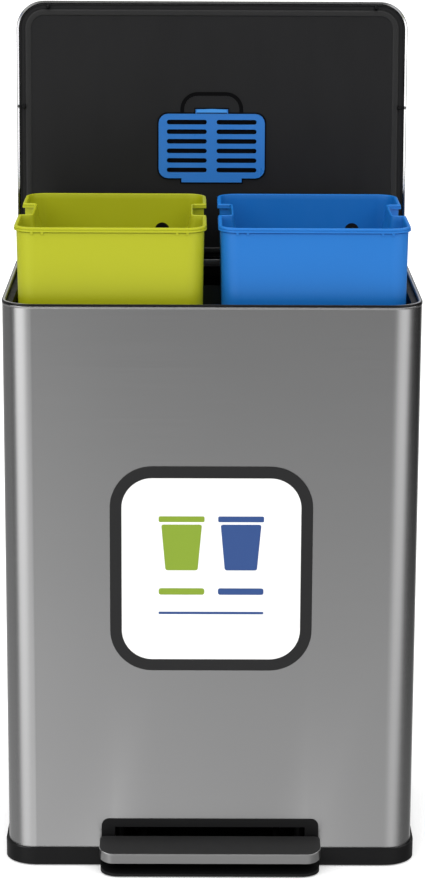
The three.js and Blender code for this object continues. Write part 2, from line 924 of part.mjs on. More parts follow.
function lidLinerPiece() {
  const inset = lidHem + seatGap;
  const plate = flat(lidOutline(inset), linerLow, linerThick);
  const ridge = cut(
    flat(lidOutline(ridgeInset), ridgeLow, linerLow - ridgeLow + linerThick / 2),
    flat(lidOutline(ridgeInset + ridgeWidth), ridgeLow - cutMargin, linerLow + linerThick + 2 * cutMargin),
  );
  const trayTop = cartridgeBottom + cartridgeThick + seatGap + trayWall;
  const tray = block(
    -cartridgeHalf - seatGap - trayWall,
    cartridgeHalf + seatGap + trayWall,
    -cartridgeHigh - seatGap - trayWall,
    -cartridgeLow + seatGap + trayWall,
    linerLow + linerThick / 2,
    trayTop,
  );
  const trayHollow = block(
    -cartridgeHalf - seatGap,
    cartridgeHalf + seatGap,
    -cartridgeHigh - seatGap,
    -cartridgeLow + seatGap,
    linerLow - cutMargin,
    trayTop - trayWall,
  );
  const archOuter = roundedRect(-archHalf, -archHigh, archHalf, -filterHigh, [archCorner, archCorner, 0, 0]);
  const archInner = archCorner - archStroke;
  archOuter.holes.push(roundedRect(
    -archHalf + archStroke,
    -archHigh + archStroke,
    archHalf - archStroke,
    -filterHigh - archSill,
    [archInner, archInner, 0, 0],
  ));
  const arch = flat(archOuter, linerLow - cutMargin, archDeep + cutMargin);
  const rear = block(-bodyWidth, bodyWidth, rearEdge, bodyDepth, ridgeLow - cutMargin, rearSkirt);
  const hingeHigh = rodX + rodThick / 2 + rodSideGap + hingeCutSide;
  const hingeLow = hingeZoneLow - hingeCutSide;
  return cut(
    join(plate, ridge, tray),
    trayHollow,
    arch,
    rear,
    hingeCut(hingeLow, hingeHigh),
    hingeCut(-hingeHigh, -hingeLow),
    hingeCut(damperPlateLow - hingeCutSide, damperX + rodThick / 2 + rodSideGap + hingeCutSide),
    ...lidScrewPlaces.map(([x, y]) => (
      flat(circle(x, y, screwRadius + boreGap), linerLow - cutMargin, linerThick + 2 * cutMargin)
    )),
  );
}

// A lug with the crank pin, hanging from the hinge plate, from xLow to the right.
function crankLug(xLow) {
  const rootRadius = crankEnd + crankRootGrow;
  const rootY = -crankPinAlong - crankRootFront;
  const rootZ = hingePlateTop - hingePlate - rootRadius;
  const lug = sideways(
    link(-crankPinAlong, -crankPinDown, crankEnd, rootY, rootZ, rootRadius),
    xLow,
    crankThick,
  );
  const root = block(
    xLow,
    xLow + crankThick,
    rootY - rootRadius,
    rootY + rootRadius,
    rootZ,
    hingePlateTop - hingePlate / 2,
  );
  const pin = sideways(
    circle(-crankPinAlong, -crankPinDown, crankPinRadius),
    xLow + crankThick / 2,
    crankThick / 2 + rodSideGap + rodThick + rodSideGap / 2,
    2 * arcSteps,
  );
  return join(lug, root, pin);
}

const hingePlateBack = -knuckleRadius - plateFront;
const hingePlateTop = linerLow - seatGap;

function plateHole([x, y]) {
  const low = hingePlateTop - hingePlate - cutMargin;
  return flat(circle(x, y, screwRadius + boreGap), low, hingePlate + 2 * cutMargin);
}

function hingePlateBlock(x0, x1) {
  return block(
    x0,
    x1,
    hingePlateBack - hingePlateLong,
    hingePlateBack,
    hingePlateTop - hingePlate,
    hingePlateTop,
  );
}

function hingeArmPiece() {
  const web = block(
    hingeZoneLow,
    hingeZoneHigh,
    hingePlateBack - cutMargin,
    0,
    hingePlateTop - hingePlate,
    hingePlateTop,
  );
  const knuckle = sideways(circle(0, 0, knuckleRadius), hingeZoneLow, hingeZoneHigh - hingeZoneLow);
  const earSpace = block(
    earX - earThick / 2 - knuckleGap,
    earX + earThick / 2 + knuckleGap,
    -knuckleRadius - knuckleGap,
    knuckleRadius + cutMargin,
    -knuckleRadius - cutMargin,
    knuckleRadius + cutMargin,
  );
  const bore = sideways(
    circle(0, 0, pinRadius + boreGap),
    hingeZoneLow - cutMargin,
    hingeZoneHigh - hingeZoneLow + 2 * cutMargin,
    2 * arcSteps,
  );
  const plate = hingePlateBlock(hingeZoneLow, hingeZoneHigh);
  const arm = join(plate, web, knuckle, crankLug(hingeZoneHigh - crankThick));
  return cut(arm, earSpace, bore, ...hingeScrewPlaces.map(plateHole));
}

const screwRow = hingePlateBack - hingePlateLong + screwHead + screwEdge;
const damperLugX = damperX - rodThick / 2 - rodSideGap - crankThick;
const damperPlateLow = damperLugX - 2 * (screwHead + screwSide);
const hingeScrewPlaces = [
  [hingeZoneLow + screwHead + screwSide, screwRow],
  [hingeZoneHigh - screwHead - screwSide, screwRow],
];
const damperScrewPlaces = [
  [damperPlateLow + screwHead + screwSide, screwRow],
  [damperPlateLow + screwHead + screwSide, screwRow + 3 * screwHead],
];
const lidScrewPlaces = [
  ...hingeScrewPlaces,
  ...hingeScrewPlaces.map(([x, y]) => [-x, y]),
  ...damperScrewPlaces,
];

function damperArmPiece() {
  const plate = hingePlateBlock(damperPlateLow, damperLugX + crankThick);
  return cut(join(plate, crankLug(damperLugX)), ...damperScrewPlaces.map(plateHole));
}

function lidScrewPiece(x, y) {
  return screw().rotateX(Math.PI).translate(x, y, hingePlateTop - hingePlate - boreGap);
}

const bumperLow = deckTop + bumperRise - hingeZ;
const bumperPlaces = [
  [-halfWidth + bumperInsetX, lidFront + openFront / 2],
  [halfWidth - bumperInsetX, lidFront + openFront / 2],
  [-halfWidth + collarInset + deckSide / 2, lidFront + openBack / 2],
  [halfWidth - collarInset - deckSide / 2, lidFront + openBack / 2],
];

const hingeArm = hingeArmPiece();
addPiece(lid, 'lid_shell', lidShellPiece(), brushedSteel());
addPiece(lid, 'lid_liner', lidLinerPiece(), greyPlastic());
addPiece(lid, 'hinge_arm_right', hingeArm, zincSteel());
addPiece(lid, 'hinge_arm_left', mirrored(hingeArm), zincSteel());
addPiece(lid, 'damper_arm', damperArmPiece(), zincSteel());
lidScrewPlaces.forEach(([x, y], i) => {
  addPiece(lid, `lid_screw_${i + 1}`, lidScrewPiece(x, y), zincSteel());
});
addPiece(bin, 'hinge_pin_right', hingePin, zincSteel());
addPiece(bin, 'hinge_pin_left', mirrored(hingePin), zincSteel());
bumperPlaces.forEach(([x, y], i) => {
  const bumper = flat(circle(x, y, bumperRadius), bumperLow, linerLow - seatGap - bumperLow);
  addPiece(lid, `lid_bumper_${i + 1}`, bumper, rubber());
});

// ---- Filter cover and cartridge ----

function filterCoverPiece() {
  const low = linerLow - seatGap - filterThick;
  const plan = roundedRect(-filterHalf, -filterHigh, filterHalf, -filterLow, filterCorner);
  const firstRow = (filterLow + filterHigh) / 2 - ((grilleRows - 1) * grillePitch) / 2;
  for (const side of [-1, 1]) {
    for (let row = 0; row < grilleRows; row += 1) {
      const middle = -(firstRow + row * grillePitch);
      plan.holes.push(roundedRect(
        side * grilleMiddle - grilleSlotLong / 2,
        middle - grilleSlot / 2,
        side * grilleMiddle + grilleSlotLong / 2,
        middle + grilleSlot / 2,
        grilleSlot / 2 - roundLess,
      ));
    }
  }
  const plate = flat(plan, low, filterThick, slotSteps);
  const tab = (half, y0, y1) => block(-half, half, y0, y1, low, low + filterThick);
  return join(
    plate,
    tab(latchHalf, -filterHigh - latchLong, -filterHigh + tabRoot),
    tab(hingeTabHalf, -filterLow - tabRoot, -filterLow + hingeTabLong),
  );
}

const cartridge = block(
  -cartridgeHalf,
  cartridgeHalf,
  -cartridgeHigh,
  -cartridgeLow,
  cartridgeBottom,
  cartridgeBottom + cartridgeThick,
);
addPiece(lid, 'filter_cover', filterCoverPiece(), bluePlastic());
addPiece(lid, 'filter_cartridge', cartridge, finish(0x1a1a1a, 0.95, 0));

// ---- Buckets ----

// A prism whose walls lean in below `top`, each by `draft` for each millimetre.
function tapered(geometry, x0, x1, y0, y1, top) {
  const places = geometry.attributes.position;
  const middleX = (x0 + x1) / 2;
  const middleY = (y0 + y1) / 2;
  for (let i = 0; i < places.count; i += 1) {
    const lean = bucketDraft * (top - places.getZ(i));
    const x = middleX + (places.getX(i) - middleX) * (1 - (2 * lean) / (x1 - x0));
    const y = middleY + (places.getY(i) - middleY) * (1 - (2 * lean) / (y1 - y0));
    places.setXYZ(i, x, y, places.getZ(i));
  }
  return geometry;
}

// One finger pocket, open at the top and to the side that `side` names, grown by `out`.
function pocket(edge, side, middleY, out, drop = pocketHigh) {
  const inner = edge - side * (flangeOut + pocketDeep + out);
  const outer = edge + side * pocketPast;
  const low = middleY - pocketLength / 2 - out;
  const high = middleY + pocketLength / 2 + out;
  const radii = side > 0 ? [pocketCorner, 0, 0, pocketCorner] : [0, pocketCorner, pocketCorner, 0];
  return flat(
    roundedRect(Math.min(inner, outer), low, Math.max(inner, outer), high, radii),
    bucketRim - drop - out,
    drop + out + cutMargin,
  );
}

function bucketPiece(x0, x1) {
  const y0 = bucketFront;
  const y1 = bucketBack;
  const middleY = (y0 + y1) / 2 + pocketShift;
  const wallOut = (inset) => (
    roundedRect(x0 + inset, y0 + inset, x1 - inset, y1 - inset, bucketCorner - inset)
  );
  const flange = flat(wallOut(0), bucketRim - flangeHeight, flangeHeight);
  const outer = tapered(
    flat(wallOut(flangeOut), bucketLow, bucketHeight),
    x0 + flangeOut,
    x1 - flangeOut,
    y0 + flangeOut,
    y1 - flangeOut,
    bucketRim,
  );
  const rimWidth = flangeOut + bucketWall;
  const inner = tapered(
    flat(wallOut(rimWidth), bucketLow + bucketBottom, bucketHeight),
    x0 + rimWidth,
    x1 - rimWidth,
    y0 + rimWidth,
    y1 - rimWidth,
    bucketRim,
  );
  const pockets = (out, drop) => [pocket(x0, -1, middleY, out, drop), pocket(x1, 1, middleY, out, drop)];
  const cavity = cut(inner, ...pockets(bucketWall), ...pockets(rimWidth, flangeHeight - rimWidth));
  const holeX = (x0 + x1) / 2 + tuckHoleX;
  const tuckHole = upright(
    circle(holeX, bucketRim - tuckHoleDrop, tuckHoleRadius),
    y1 + cutMargin,
    cutMargin + flangeOut + 2 * bucketWall,
  );
  return cut(join(outer, flange), ...pockets(0), cavity, tuckHole);
}

addPiece(bin, 'green_bucket', bucketPiece(-bucketOuter, -bucketInner), greenPlastic());
addPiece(bin, 'blue_bucket', bucketPiece(bucketInner, bucketOuter), bluePlastic());

// ---- Badge ----

function badgeOutline(inset) {
  return roundedRect(
    -badgeHalf + inset,
    badgeLow + inset,
    badgeHalf - inset,
    badgeHigh - inset,
    badgeCorner - inset,
  );
}

const badgeRing = badgeOutline(0);
badgeRing.holes.push(badgeOutline(badgeBorder));
const badgeFrame = upright(badgeRing, -seatGap, badgeThick);
const badgeFace = upright(badgeOutline(badgeBorder + seatGap), -seatGap, badgeFaceThick);
addPiece(bin, 'badge_frame', badgeFrame, finish(0x4b4b4b, 0.6, 0));
addPiece(bin, 'badge_face', badgeFace, finish(0xf4f4f2, 0.5, 0));

// ---- The origin goes under the middle of the whole box ----

bin.updateMatrixWorld(true);
const wholeBox = new THREE.Box3().setFromObject(bin, true);
bin.position.y = -(wholeBox.min.y + wholeBox.max.y) / 2;

export default bin;
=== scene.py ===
import json
import math

import bmesh
import bpy
import numpy as np
from mathutils import Matrix, Vector

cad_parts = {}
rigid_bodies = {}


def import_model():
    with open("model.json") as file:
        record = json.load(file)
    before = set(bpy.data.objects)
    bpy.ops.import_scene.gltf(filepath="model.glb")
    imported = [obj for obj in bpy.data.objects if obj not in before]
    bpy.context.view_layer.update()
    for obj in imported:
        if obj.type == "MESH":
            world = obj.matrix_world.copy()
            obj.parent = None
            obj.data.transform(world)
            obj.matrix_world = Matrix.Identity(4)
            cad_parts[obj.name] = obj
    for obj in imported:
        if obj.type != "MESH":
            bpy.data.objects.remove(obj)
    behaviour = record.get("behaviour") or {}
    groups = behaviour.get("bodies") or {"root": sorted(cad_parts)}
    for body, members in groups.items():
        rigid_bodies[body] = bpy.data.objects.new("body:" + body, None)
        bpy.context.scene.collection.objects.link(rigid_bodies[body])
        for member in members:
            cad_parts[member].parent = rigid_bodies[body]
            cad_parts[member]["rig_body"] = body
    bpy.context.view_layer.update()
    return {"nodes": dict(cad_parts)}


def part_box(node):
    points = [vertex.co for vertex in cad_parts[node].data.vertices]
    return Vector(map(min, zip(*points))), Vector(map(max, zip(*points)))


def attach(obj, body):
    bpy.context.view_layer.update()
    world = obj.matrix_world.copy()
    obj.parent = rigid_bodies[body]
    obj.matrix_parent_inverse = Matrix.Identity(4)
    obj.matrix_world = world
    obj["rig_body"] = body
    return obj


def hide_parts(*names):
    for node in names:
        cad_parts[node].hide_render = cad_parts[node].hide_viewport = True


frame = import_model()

cadNodes = frame["nodes"]
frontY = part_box("body_shell")[0].y  # the steel's front face, in metres
print("frame loaded:", len(cadNodes), "solids")

# Sizes below are in millimetres: x from the middle, y from the steel's front face, z from the floor.
lidPlace = dict(open=94.2, hingeY=322, hingeZ=690)
pedalPlace = dict(tilt=12.8, backY=-5, backZ=39)


# A point's millimetres become metres, and y starts from the steel's front face.
def standing(points):
    return points / 1000 + np.array([0, frontY, 0])


# A point is turned about the x axis by an angle, then carried to a hinge line at (y, z).
def turnedAbout(points, degrees, y, z):
    c, s = math.cos(math.radians(degrees)), math.sin(math.radians(degrees))
    turned = points.copy()
    turned[..., 1] = points[..., 1] * c - points[..., 2] * s + y
    turned[..., 2] = points[..., 1] * s + points[..., 2] * c + z
    return standing(turned)


# The shut lid, with its hinge axis as the x axis, is turned open as photographed.
def onLid(points):
    return turnedAbout(points, -lidPlace["open"], lidPlace["hingeY"], lidPlace["hingeZ"])


# The pedal's flat cover, with its back edge as the x axis, is tilted to its place.
def onPedal(points):
    return turnedAbout(points, pedalPlace["tilt"], pedalPlace["backY"], pedalPlace["backZ"])


# A badge drawn in (x, up, out) is stood against the steel's front face.
def onFront(points):
    return standing(np.stack([points[..., 0], -points[..., 2], points[..., 1]], -1))


# Four quarter arcs joined by straight sides, anticlockwise from the back left corner. A point is held just
# outside each arc, and at every stop asked for on a side. Gives points, ways out, and each side's stops.
def outlinePath(x0, x1, y0, y1, radius, stops=None, steps=9, hold=0.7):
    radii = np.broadcast_to(np.array(radius, float), 4)  # back left, front left, front right, back right
    signs = [(1, -1), (1, 1), (-1, 1), (-1, -1)]
    edges = [(x0, y1), (x0, y0), (x1, y0), (x1, y1)]
    points, normals, spans = [], [], {}
    count = 0
    for k, side in enumerate(("left", "front", "right", "back")):
        angle = np.radians(90 + 90 * k) + np.linspace(0, math.pi / 2, steps + 1)
        out = np.stack([np.cos(angle), np.sin(angle)], 1)
        ahead = np.stack([-out[:, 1], out[:, 0]], 1)
        arc = np.array(edges[k]) + np.array(signs[k]) * radii[k] + radii[k] * out
        points += [arc[:1] - hold * ahead[:1], arc, arc[-1:] + hold * ahead[-1:]]
        normals += [out[:1], out, out[-1:]]
        count += steps + 3
        asked = np.array(sorted((stops or {}).get(side, [])), float)
        if side in ("left", "back"):
            asked = asked[::-1]
        fixed = np.full(len(asked), [x0, y0, x1, y1][k], float)
        pair = (fixed, asked) if side in ("left", "right") else (asked, fixed)
        points.append(np.stack(pair, 1))
        normals.append(np.repeat(out[-1:], len(asked), 0))
        spans[side] = slice(count, count + len(asked))
        count += len(asked)
    return np.concatenate(points), np.concatenate(normals), spans


# Each corner of a polyline becomes a quadratic curve that starts and ends `cut` away from it. A point is
# held outside each end, by a share of the cut, but by no more than a share of the side's spare length.
def rounded(corners, cut, steps=4, closed=True, held=0.35, sparing=0.45):
    corner = np.array(corners, float)
    cuts = np.broadcast_to(np.array(cut, float), len(corner))
    reach = cuts[:, None, None]
    before = np.roll(corner, 1, 0) - corner
    after = np.roll(corner, -1, 0) - corner
    side = np.linalg.norm(after, axis=1)
    before = (before / np.linalg.norm(before, axis=1)[:, None])[:, None]
    after = (after / side[:, None])[:, None]
    s = np.linspace(0, 1, steps + 1)[None, :, None]
    start = corner[:, None] + before * reach
    end = corner[:, None] + after * reach
    bend = (1 - s) ** 2 * start + 2 * s * (1 - s) * corner[:, None] + s ** 2 * end
    spare = sparing * (side - cuts - np.roll(cuts, -1))
    first = start + before * np.minimum(np.roll(spare, 1), held * cuts)[:, None, None]
    last = end + after * np.minimum(spare, held * cuts)[:, None, None]
    line = np.concatenate([first, bend, last], 1)
    if closed:
        return line.reshape(-1, 2)
    return np.concatenate([corner[:1], line[1:-1].reshape(-1, 2), corner[-1:]])


# A bar's section between an inner and an outer side and two heights, its corners cut in that order.
def barProfile(inner, outer, low, top, cut, steps=4, closed=True):
    return rounded([(inner, low), (outer, low), (outer, top), (inner, top)], cut, steps, closed)


# Points (out, up) on an arc round a centre, one at each angle.
def arcLine(out, up, radius, degrees):
    turn = np.radians(degrees)
    return np.stack([out + radius * np.cos(turn), up + radius * np.sin(turn)], 1)


# Points evenly round a circle about a middle.
def circleLine(across, along, radius, count=32):
    return arcLine(across, along, radius, np.linspace(0, 360, count + 1)[:-1])


# Every point of a profile (out, up) is carried round a path: path point + out * normal, at height up.
def carried(path, profile):
    points, normals = path[0], path[1]
    xy = points[None] + profile[:, 0][:, None, None] * normals[None]
    z = np.broadcast_to(profile[:, 1][:, None, None], xy.shape[:2] + (1,))
    return np.concatenate([xy, z], 2)


# A grid of points whose rows are closed rings. The rows close round too, or both ends get flat caps.
def gridSheet(points, around=False):
    return dict(points=points, around=around)


# The length travelled along a closed line, at each point and back at the first, in metres.
def travelled(line):
    step = np.linalg.norm(np.diff(line, axis=0, append=line[:1]), axis=1)
    return np.concatenate([[0], np.cumsum(step)]) / 1000


# Neighbouring rows and columns are joined by quads, and a face's UV is the length travelled along the
# middle row and along the first column.
def sheetFaces(sheet, base):
    points = sheet["points"]
    rows, columns = points.shape[:2]
    r = np.arange(rows if sheet["around"] else rows - 1)[:, None]
    c = np.arange(columns)[None]
    nextR, nextC = (r + 1) % rows, (c + 1) % columns
    quads = np.stack([r * columns + c, r * columns + nextC, nextR * columns + nextC,
                      nextR * columns + c], -1).reshape(-1, 4) + base
    u, v = travelled(points[rows // 2]), travelled(points[:, 0])
    r4, c4 = np.broadcast_arrays(r, c)
    uv = np.stack([np.stack([u[c4], v[r4]], -1), np.stack([u[c4 + 1], v[r4]], -1),
                   np.stack([u[c4 + 1], v[r4 + 1]], -1), np.stack([u[c4], v[r4 + 1]], -1)], 2)
    faces = quads.tolist()
    uvs = [uv.reshape(-1, 2)]
    if not sheet["around"]:
        ring = np.arange(columns) + base
        faces += [ring[::-1].tolist(), (ring + (rows - 1) * columns).tolist()]
        uvs += [points[0][::-1, :2] / 1000, points[-1][:, :2] / 1000]
    return faces, np.concatenate(uvs)


# Several sheets become one list each of points, faces and UVs.
def gathered(sheets):
    points, faces, uvs, base = [], [], [], 0
    for sheet in sheets:
        made, uv = sheetFaces(sheet, base)
        faces += made
        uvs.append(uv)
        points.append(sheet["points"].reshape(-1, 3))
        base += len(points[-1])
    return np.concatenate(points), faces, np.concatenate(uvs)


# An object is made round its data and put into the scene.
def linked(name, data):
    made = bpy.data.objects.new(name, data)
    bpy.context.scene.collection.objects.link(made)
    return made


# All faces are shaded smooth, and an edge that turns by more than a set angle stays sharp.
def shadeSmooth(mesh, sharp=38):
    mesh.shade_smooth()
    mesh.set_sharp_from_angle(angle=math.radians(sharp))


# The object rides on its body and stands for its nodes.
def settle(piece, body, nodes=()):
    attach(piece, body)
    if nodes:
        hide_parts(*nodes)
    return piece


# The sheets' faces and UVs are put into one mesh in its place, shaded and settled.
def makePiece(name, sheets, place, finish, body, nodes=()):
    points, faces, uvs = gathered(sheets)
    mesh = bpy.data.meshes.new(name)
    mesh.from_pydata(place(points).tolist(), [], faces)
    mesh.uv_layers.new(name="grain").data.foreach_set("uv", uvs.astype(np.float32).ravel())
    shadeSmooth(mesh)
    mesh.materials.append(finishes[finish])
    return settle(linked(name, mesh), body, nodes)


softLook = dict(merge=0.01, flat=1.5, turn=35, segments=2)  # millimetres and degrees


# A copy of a CAD solid has its loose triangles joined and its flat faces merged, and a bevel
# rounds every edge that turns by more than a set angle.
def softened(node, width, finish):
    d = softLook
    form = bmesh.new()
    form.from_mesh(cadNodes[node].data)
    bmesh.ops.remove_doubles(form, verts=form.verts, dist=d["merge"] / 1000)
    bmesh.ops.dissolve_limit(form, angle_limit=math.radians(d["flat"]), verts=form.verts, edges=form.edges)
    mesh = bpy.data.meshes.new(node + "_finished")
    form.to_mesh(mesh)
    form.free()
    shadeSmooth(mesh)
    mesh.materials.append(finishes[finish])
    piece = linked(node + "_finished", mesh)
    soft = piece.modifiers.new("softEdges", "BEVEL")
    soft.width = width / 1000
    soft.segments = d["segments"]
    soft.limit_method = "ANGLE"
    soft.angle_limit = math.radians(d["turn"])
    soft.harden_normals = True
    return settle(piece, cadNodes[node]["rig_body"], [node])


# A thin piece is drawn in by one length at every edge, in each direction where its half exceeds `over`.
def drawnIn(piece, by, over=20):
    points = np.empty(len(piece.data.vertices) * 3, np.float32)
    piece.data.vertices.foreach_get("co", points)
    points = points.reshape(-1, 3)
    low, high = points.min(0), points.max(0)
    middle, half = (low + high) / 2, (high - low) / 2
    share = np.where(half > over / 1000, 1 - by / 1000 / half, 1)
    piece.data.vertices.foreach_set("co", (middle + (points - middle) * share).ravel())
    piece.data.update()


# A box between two corners, as a sheet of two rows with both ends capped.
def slab(x0, x1, y0, y1, z0, z1):
    plan = [(x0, y0), (x1, y0), (x1, y1), (x0, y1)]
    return gridSheet(np.array([[(x, y, z) for x, y in plan] for z in (z0, z1)], float))


# A flat outline (x, y) at one height.
def atHeight(line, z):
    return np.column_stack([line, np.full(len(line), z)])


# The space between an outer and an inner outline of as many points, from one height to another.
def frameSheet(outer, inner, low, high):
    rows = [(inner, low), (outer, low), (outer, high), (inner, high)]
    return gridSheet(np.stack([atHeight(line, z) for line, z in rows]), True)


# A flat shape with rounded corners, given as (x, y) corners anticlockwise, between two heights.
def plateSheet(corners, cut, low, high):
    line = rounded(corners, cut)
    return gridSheet(np.stack([atHeight(line, z) for z in (low, high)]))


# The closed sheets are taken out of the piece's mesh.
def cutAway(piece, sheets, place):
    points, faces, _ = gathered(sheets)
    mesh = bpy.data.meshes.new("cutter")
    mesh.from_pydata(place(points).tolist(), [], faces)
    form = bmesh.new()
    form.from_mesh(mesh)
    bmesh.ops.recalc_face_normals(form, faces=form.faces)
    form.to_mesh(mesh)
    form.free()
    cutter = linked("cutter", mesh)
    take = piece.modifiers.new("take", "BOOLEAN")
    take.object = cutter
    take.operation = "DIFFERENCE"
    take.solver = "EXACT"
    take.use_self = True
    bpy.context.view_layer.update()
    done = bpy.data.meshes.new_from_object(piece.evaluated_get(bpy.context.evaluated_depsgraph_get()))
    piece.modifiers.clear()
    piece.data = done
    shadeSmooth(done)
    bpy.data.objects.remove(cutter)


view = dict(place=(-0.01686, -3.24927, 1.27400), down=13.5305, aside=0.3289, roll=0.2651, lens=111.43,
            sensor=36, farEnd=200)


# The camera's axes come from its heading, pitch and roll: right and up are turned by the roll.
def placeCamera():
    down, aside, roll = (math.radians(view[k]) for k in ("down", "aside", "roll"))
    ahead = Vector((math.sin(aside) * math.cos(down), math.cos(aside) * math.cos(down), -math.sin(down)))
    level = Vector((math.cos(aside), -math.sin(aside), 0))
    upright = level.cross(ahead)
    right = level * math.cos(roll) + upright * math.sin(roll)
    up = upright * math.cos(roll) - level * math.sin(roll)
    data = bpy.data.cameras.new("camera")
    data.sensor_fit = "VERTICAL"
    data.sensor_width = data.sensor_height = view["sensor"]
    data.lens = view["lens"]
    data.clip_end = view["farEnd"]
    camera = linked("camera", data)
    turn = Matrix((right, up, -ahead)).transposed().to_4x4()
    camera.matrix_world = Matrix.Translation(view["place"]) @ turn
    bpy.context.scene.camera = camera


# A node is added, its settings and inputs are set, and an input that comes from a socket is linked.
def addNode(tree, kind, inputs=None, **settings):
    made = tree.nodes.new(kind)
    for key, value in settings.items():
        setattr(made, key, value)
    for key, value in (inputs or {}).items():
        if isinstance(value, bpy.types.NodeSocket):
            tree.links.new(value, made.inputs[key])
        else:
            made.inputs[key].default_value = value
    return made


# One step of arithmetic.
def calc(tree, operation, a, b=0.0, c=0.0):
    return addNode(tree, "ShaderNodeMath", {0: a, 1: b, 2: c}, operation=operation).outputs[0]


# One value times another.
def times(tree, a, b):
    return calc(tree, "MULTIPLY", a, b)


# What is left of one value when another is taken from it.
def less(tree, a, b):
    return calc(tree, "SUBTRACT", a, b)


# a * share + b * (1 - share).
def weighed(tree, a, share, b):
    return calc(tree, "MULTIPLY_ADD", a, share, times(tree, b, 1 - share))


# Rises smoothly from low to high between a and b.
def ramp(tree, value, a, b, low=0.0, high=1.0):
    inputs = {"Value": value, "From Min": a, "From Max": b, "To Min": low, "To Max": high}
    return addNode(tree, "ShaderNodeMapRange", inputs, interpolation_type="SMOOTHSTEP").outputs[0]


# A value that goes from one to the other as the share goes from 0 to 1.
def mixedBy(tree, share, one, other):
    return addNode(tree, "ShaderNodeMix", {0: share, 2: one, 3: other}, data_type="FLOAT").outputs[0]


# 1 between b and c, and smooth down to 0 at a and d.
def band(tree, value, a, b, c, d):
    return times(tree, ramp(tree, value, a, b), ramp(tree, value, c, d, 1.0, 0.0))


# Angles are in degrees, to the right of the front and above level. A pair is where a change starts and ends,
# and four are a band's.
studio = dict(
    background=1.0,  # what the camera sees behind the floor
    fill=0.5,  # soft light from all round
    low=1.15, middle=0.12, high=0.2,  # what gloss mirrors in front: near the floor, level and above
    lowRise=(-27, -7), highRise=(-6, 25), frontGlow=(-8, -1.5, 1.9, 1.0),
    leftBox=(1.05, 1.85), rightBox=(0.88, 1.42),  # soft boxes, near the floor and higher
    boxRise=(-21, -11), boxTall=(-60, -35, 50, 70),
    leftLean=(15.5, 0.7), rightLean=(11, 1.35),  # the boxes' edges lie farther in, seen lower down
    leftOuter=(-68, -57), leftInner=(-32, -3), rightInner=(8, 28), rightOuter=(57, 76),
    hollow=0.12, hollowAt=(1, 5, 10, 16),  # a dimmer stripe beside the right box
    leftSide=(0.46, 0.26), rightSide=(0.26, 0.03), sideRise=(-21, -15),  # past the boxes
    leftDip=0.16, dipAt=(-90, -82, -70, -66),
    backLow=0.62, backHigh=0.36, backRise=(-30, 10), backStart=(138, 158),
    overhead=1.7, overheadRise=(38, 58),
    sun=2.7, sunWide=110, sunHigh=62, sunAside=-12,
)


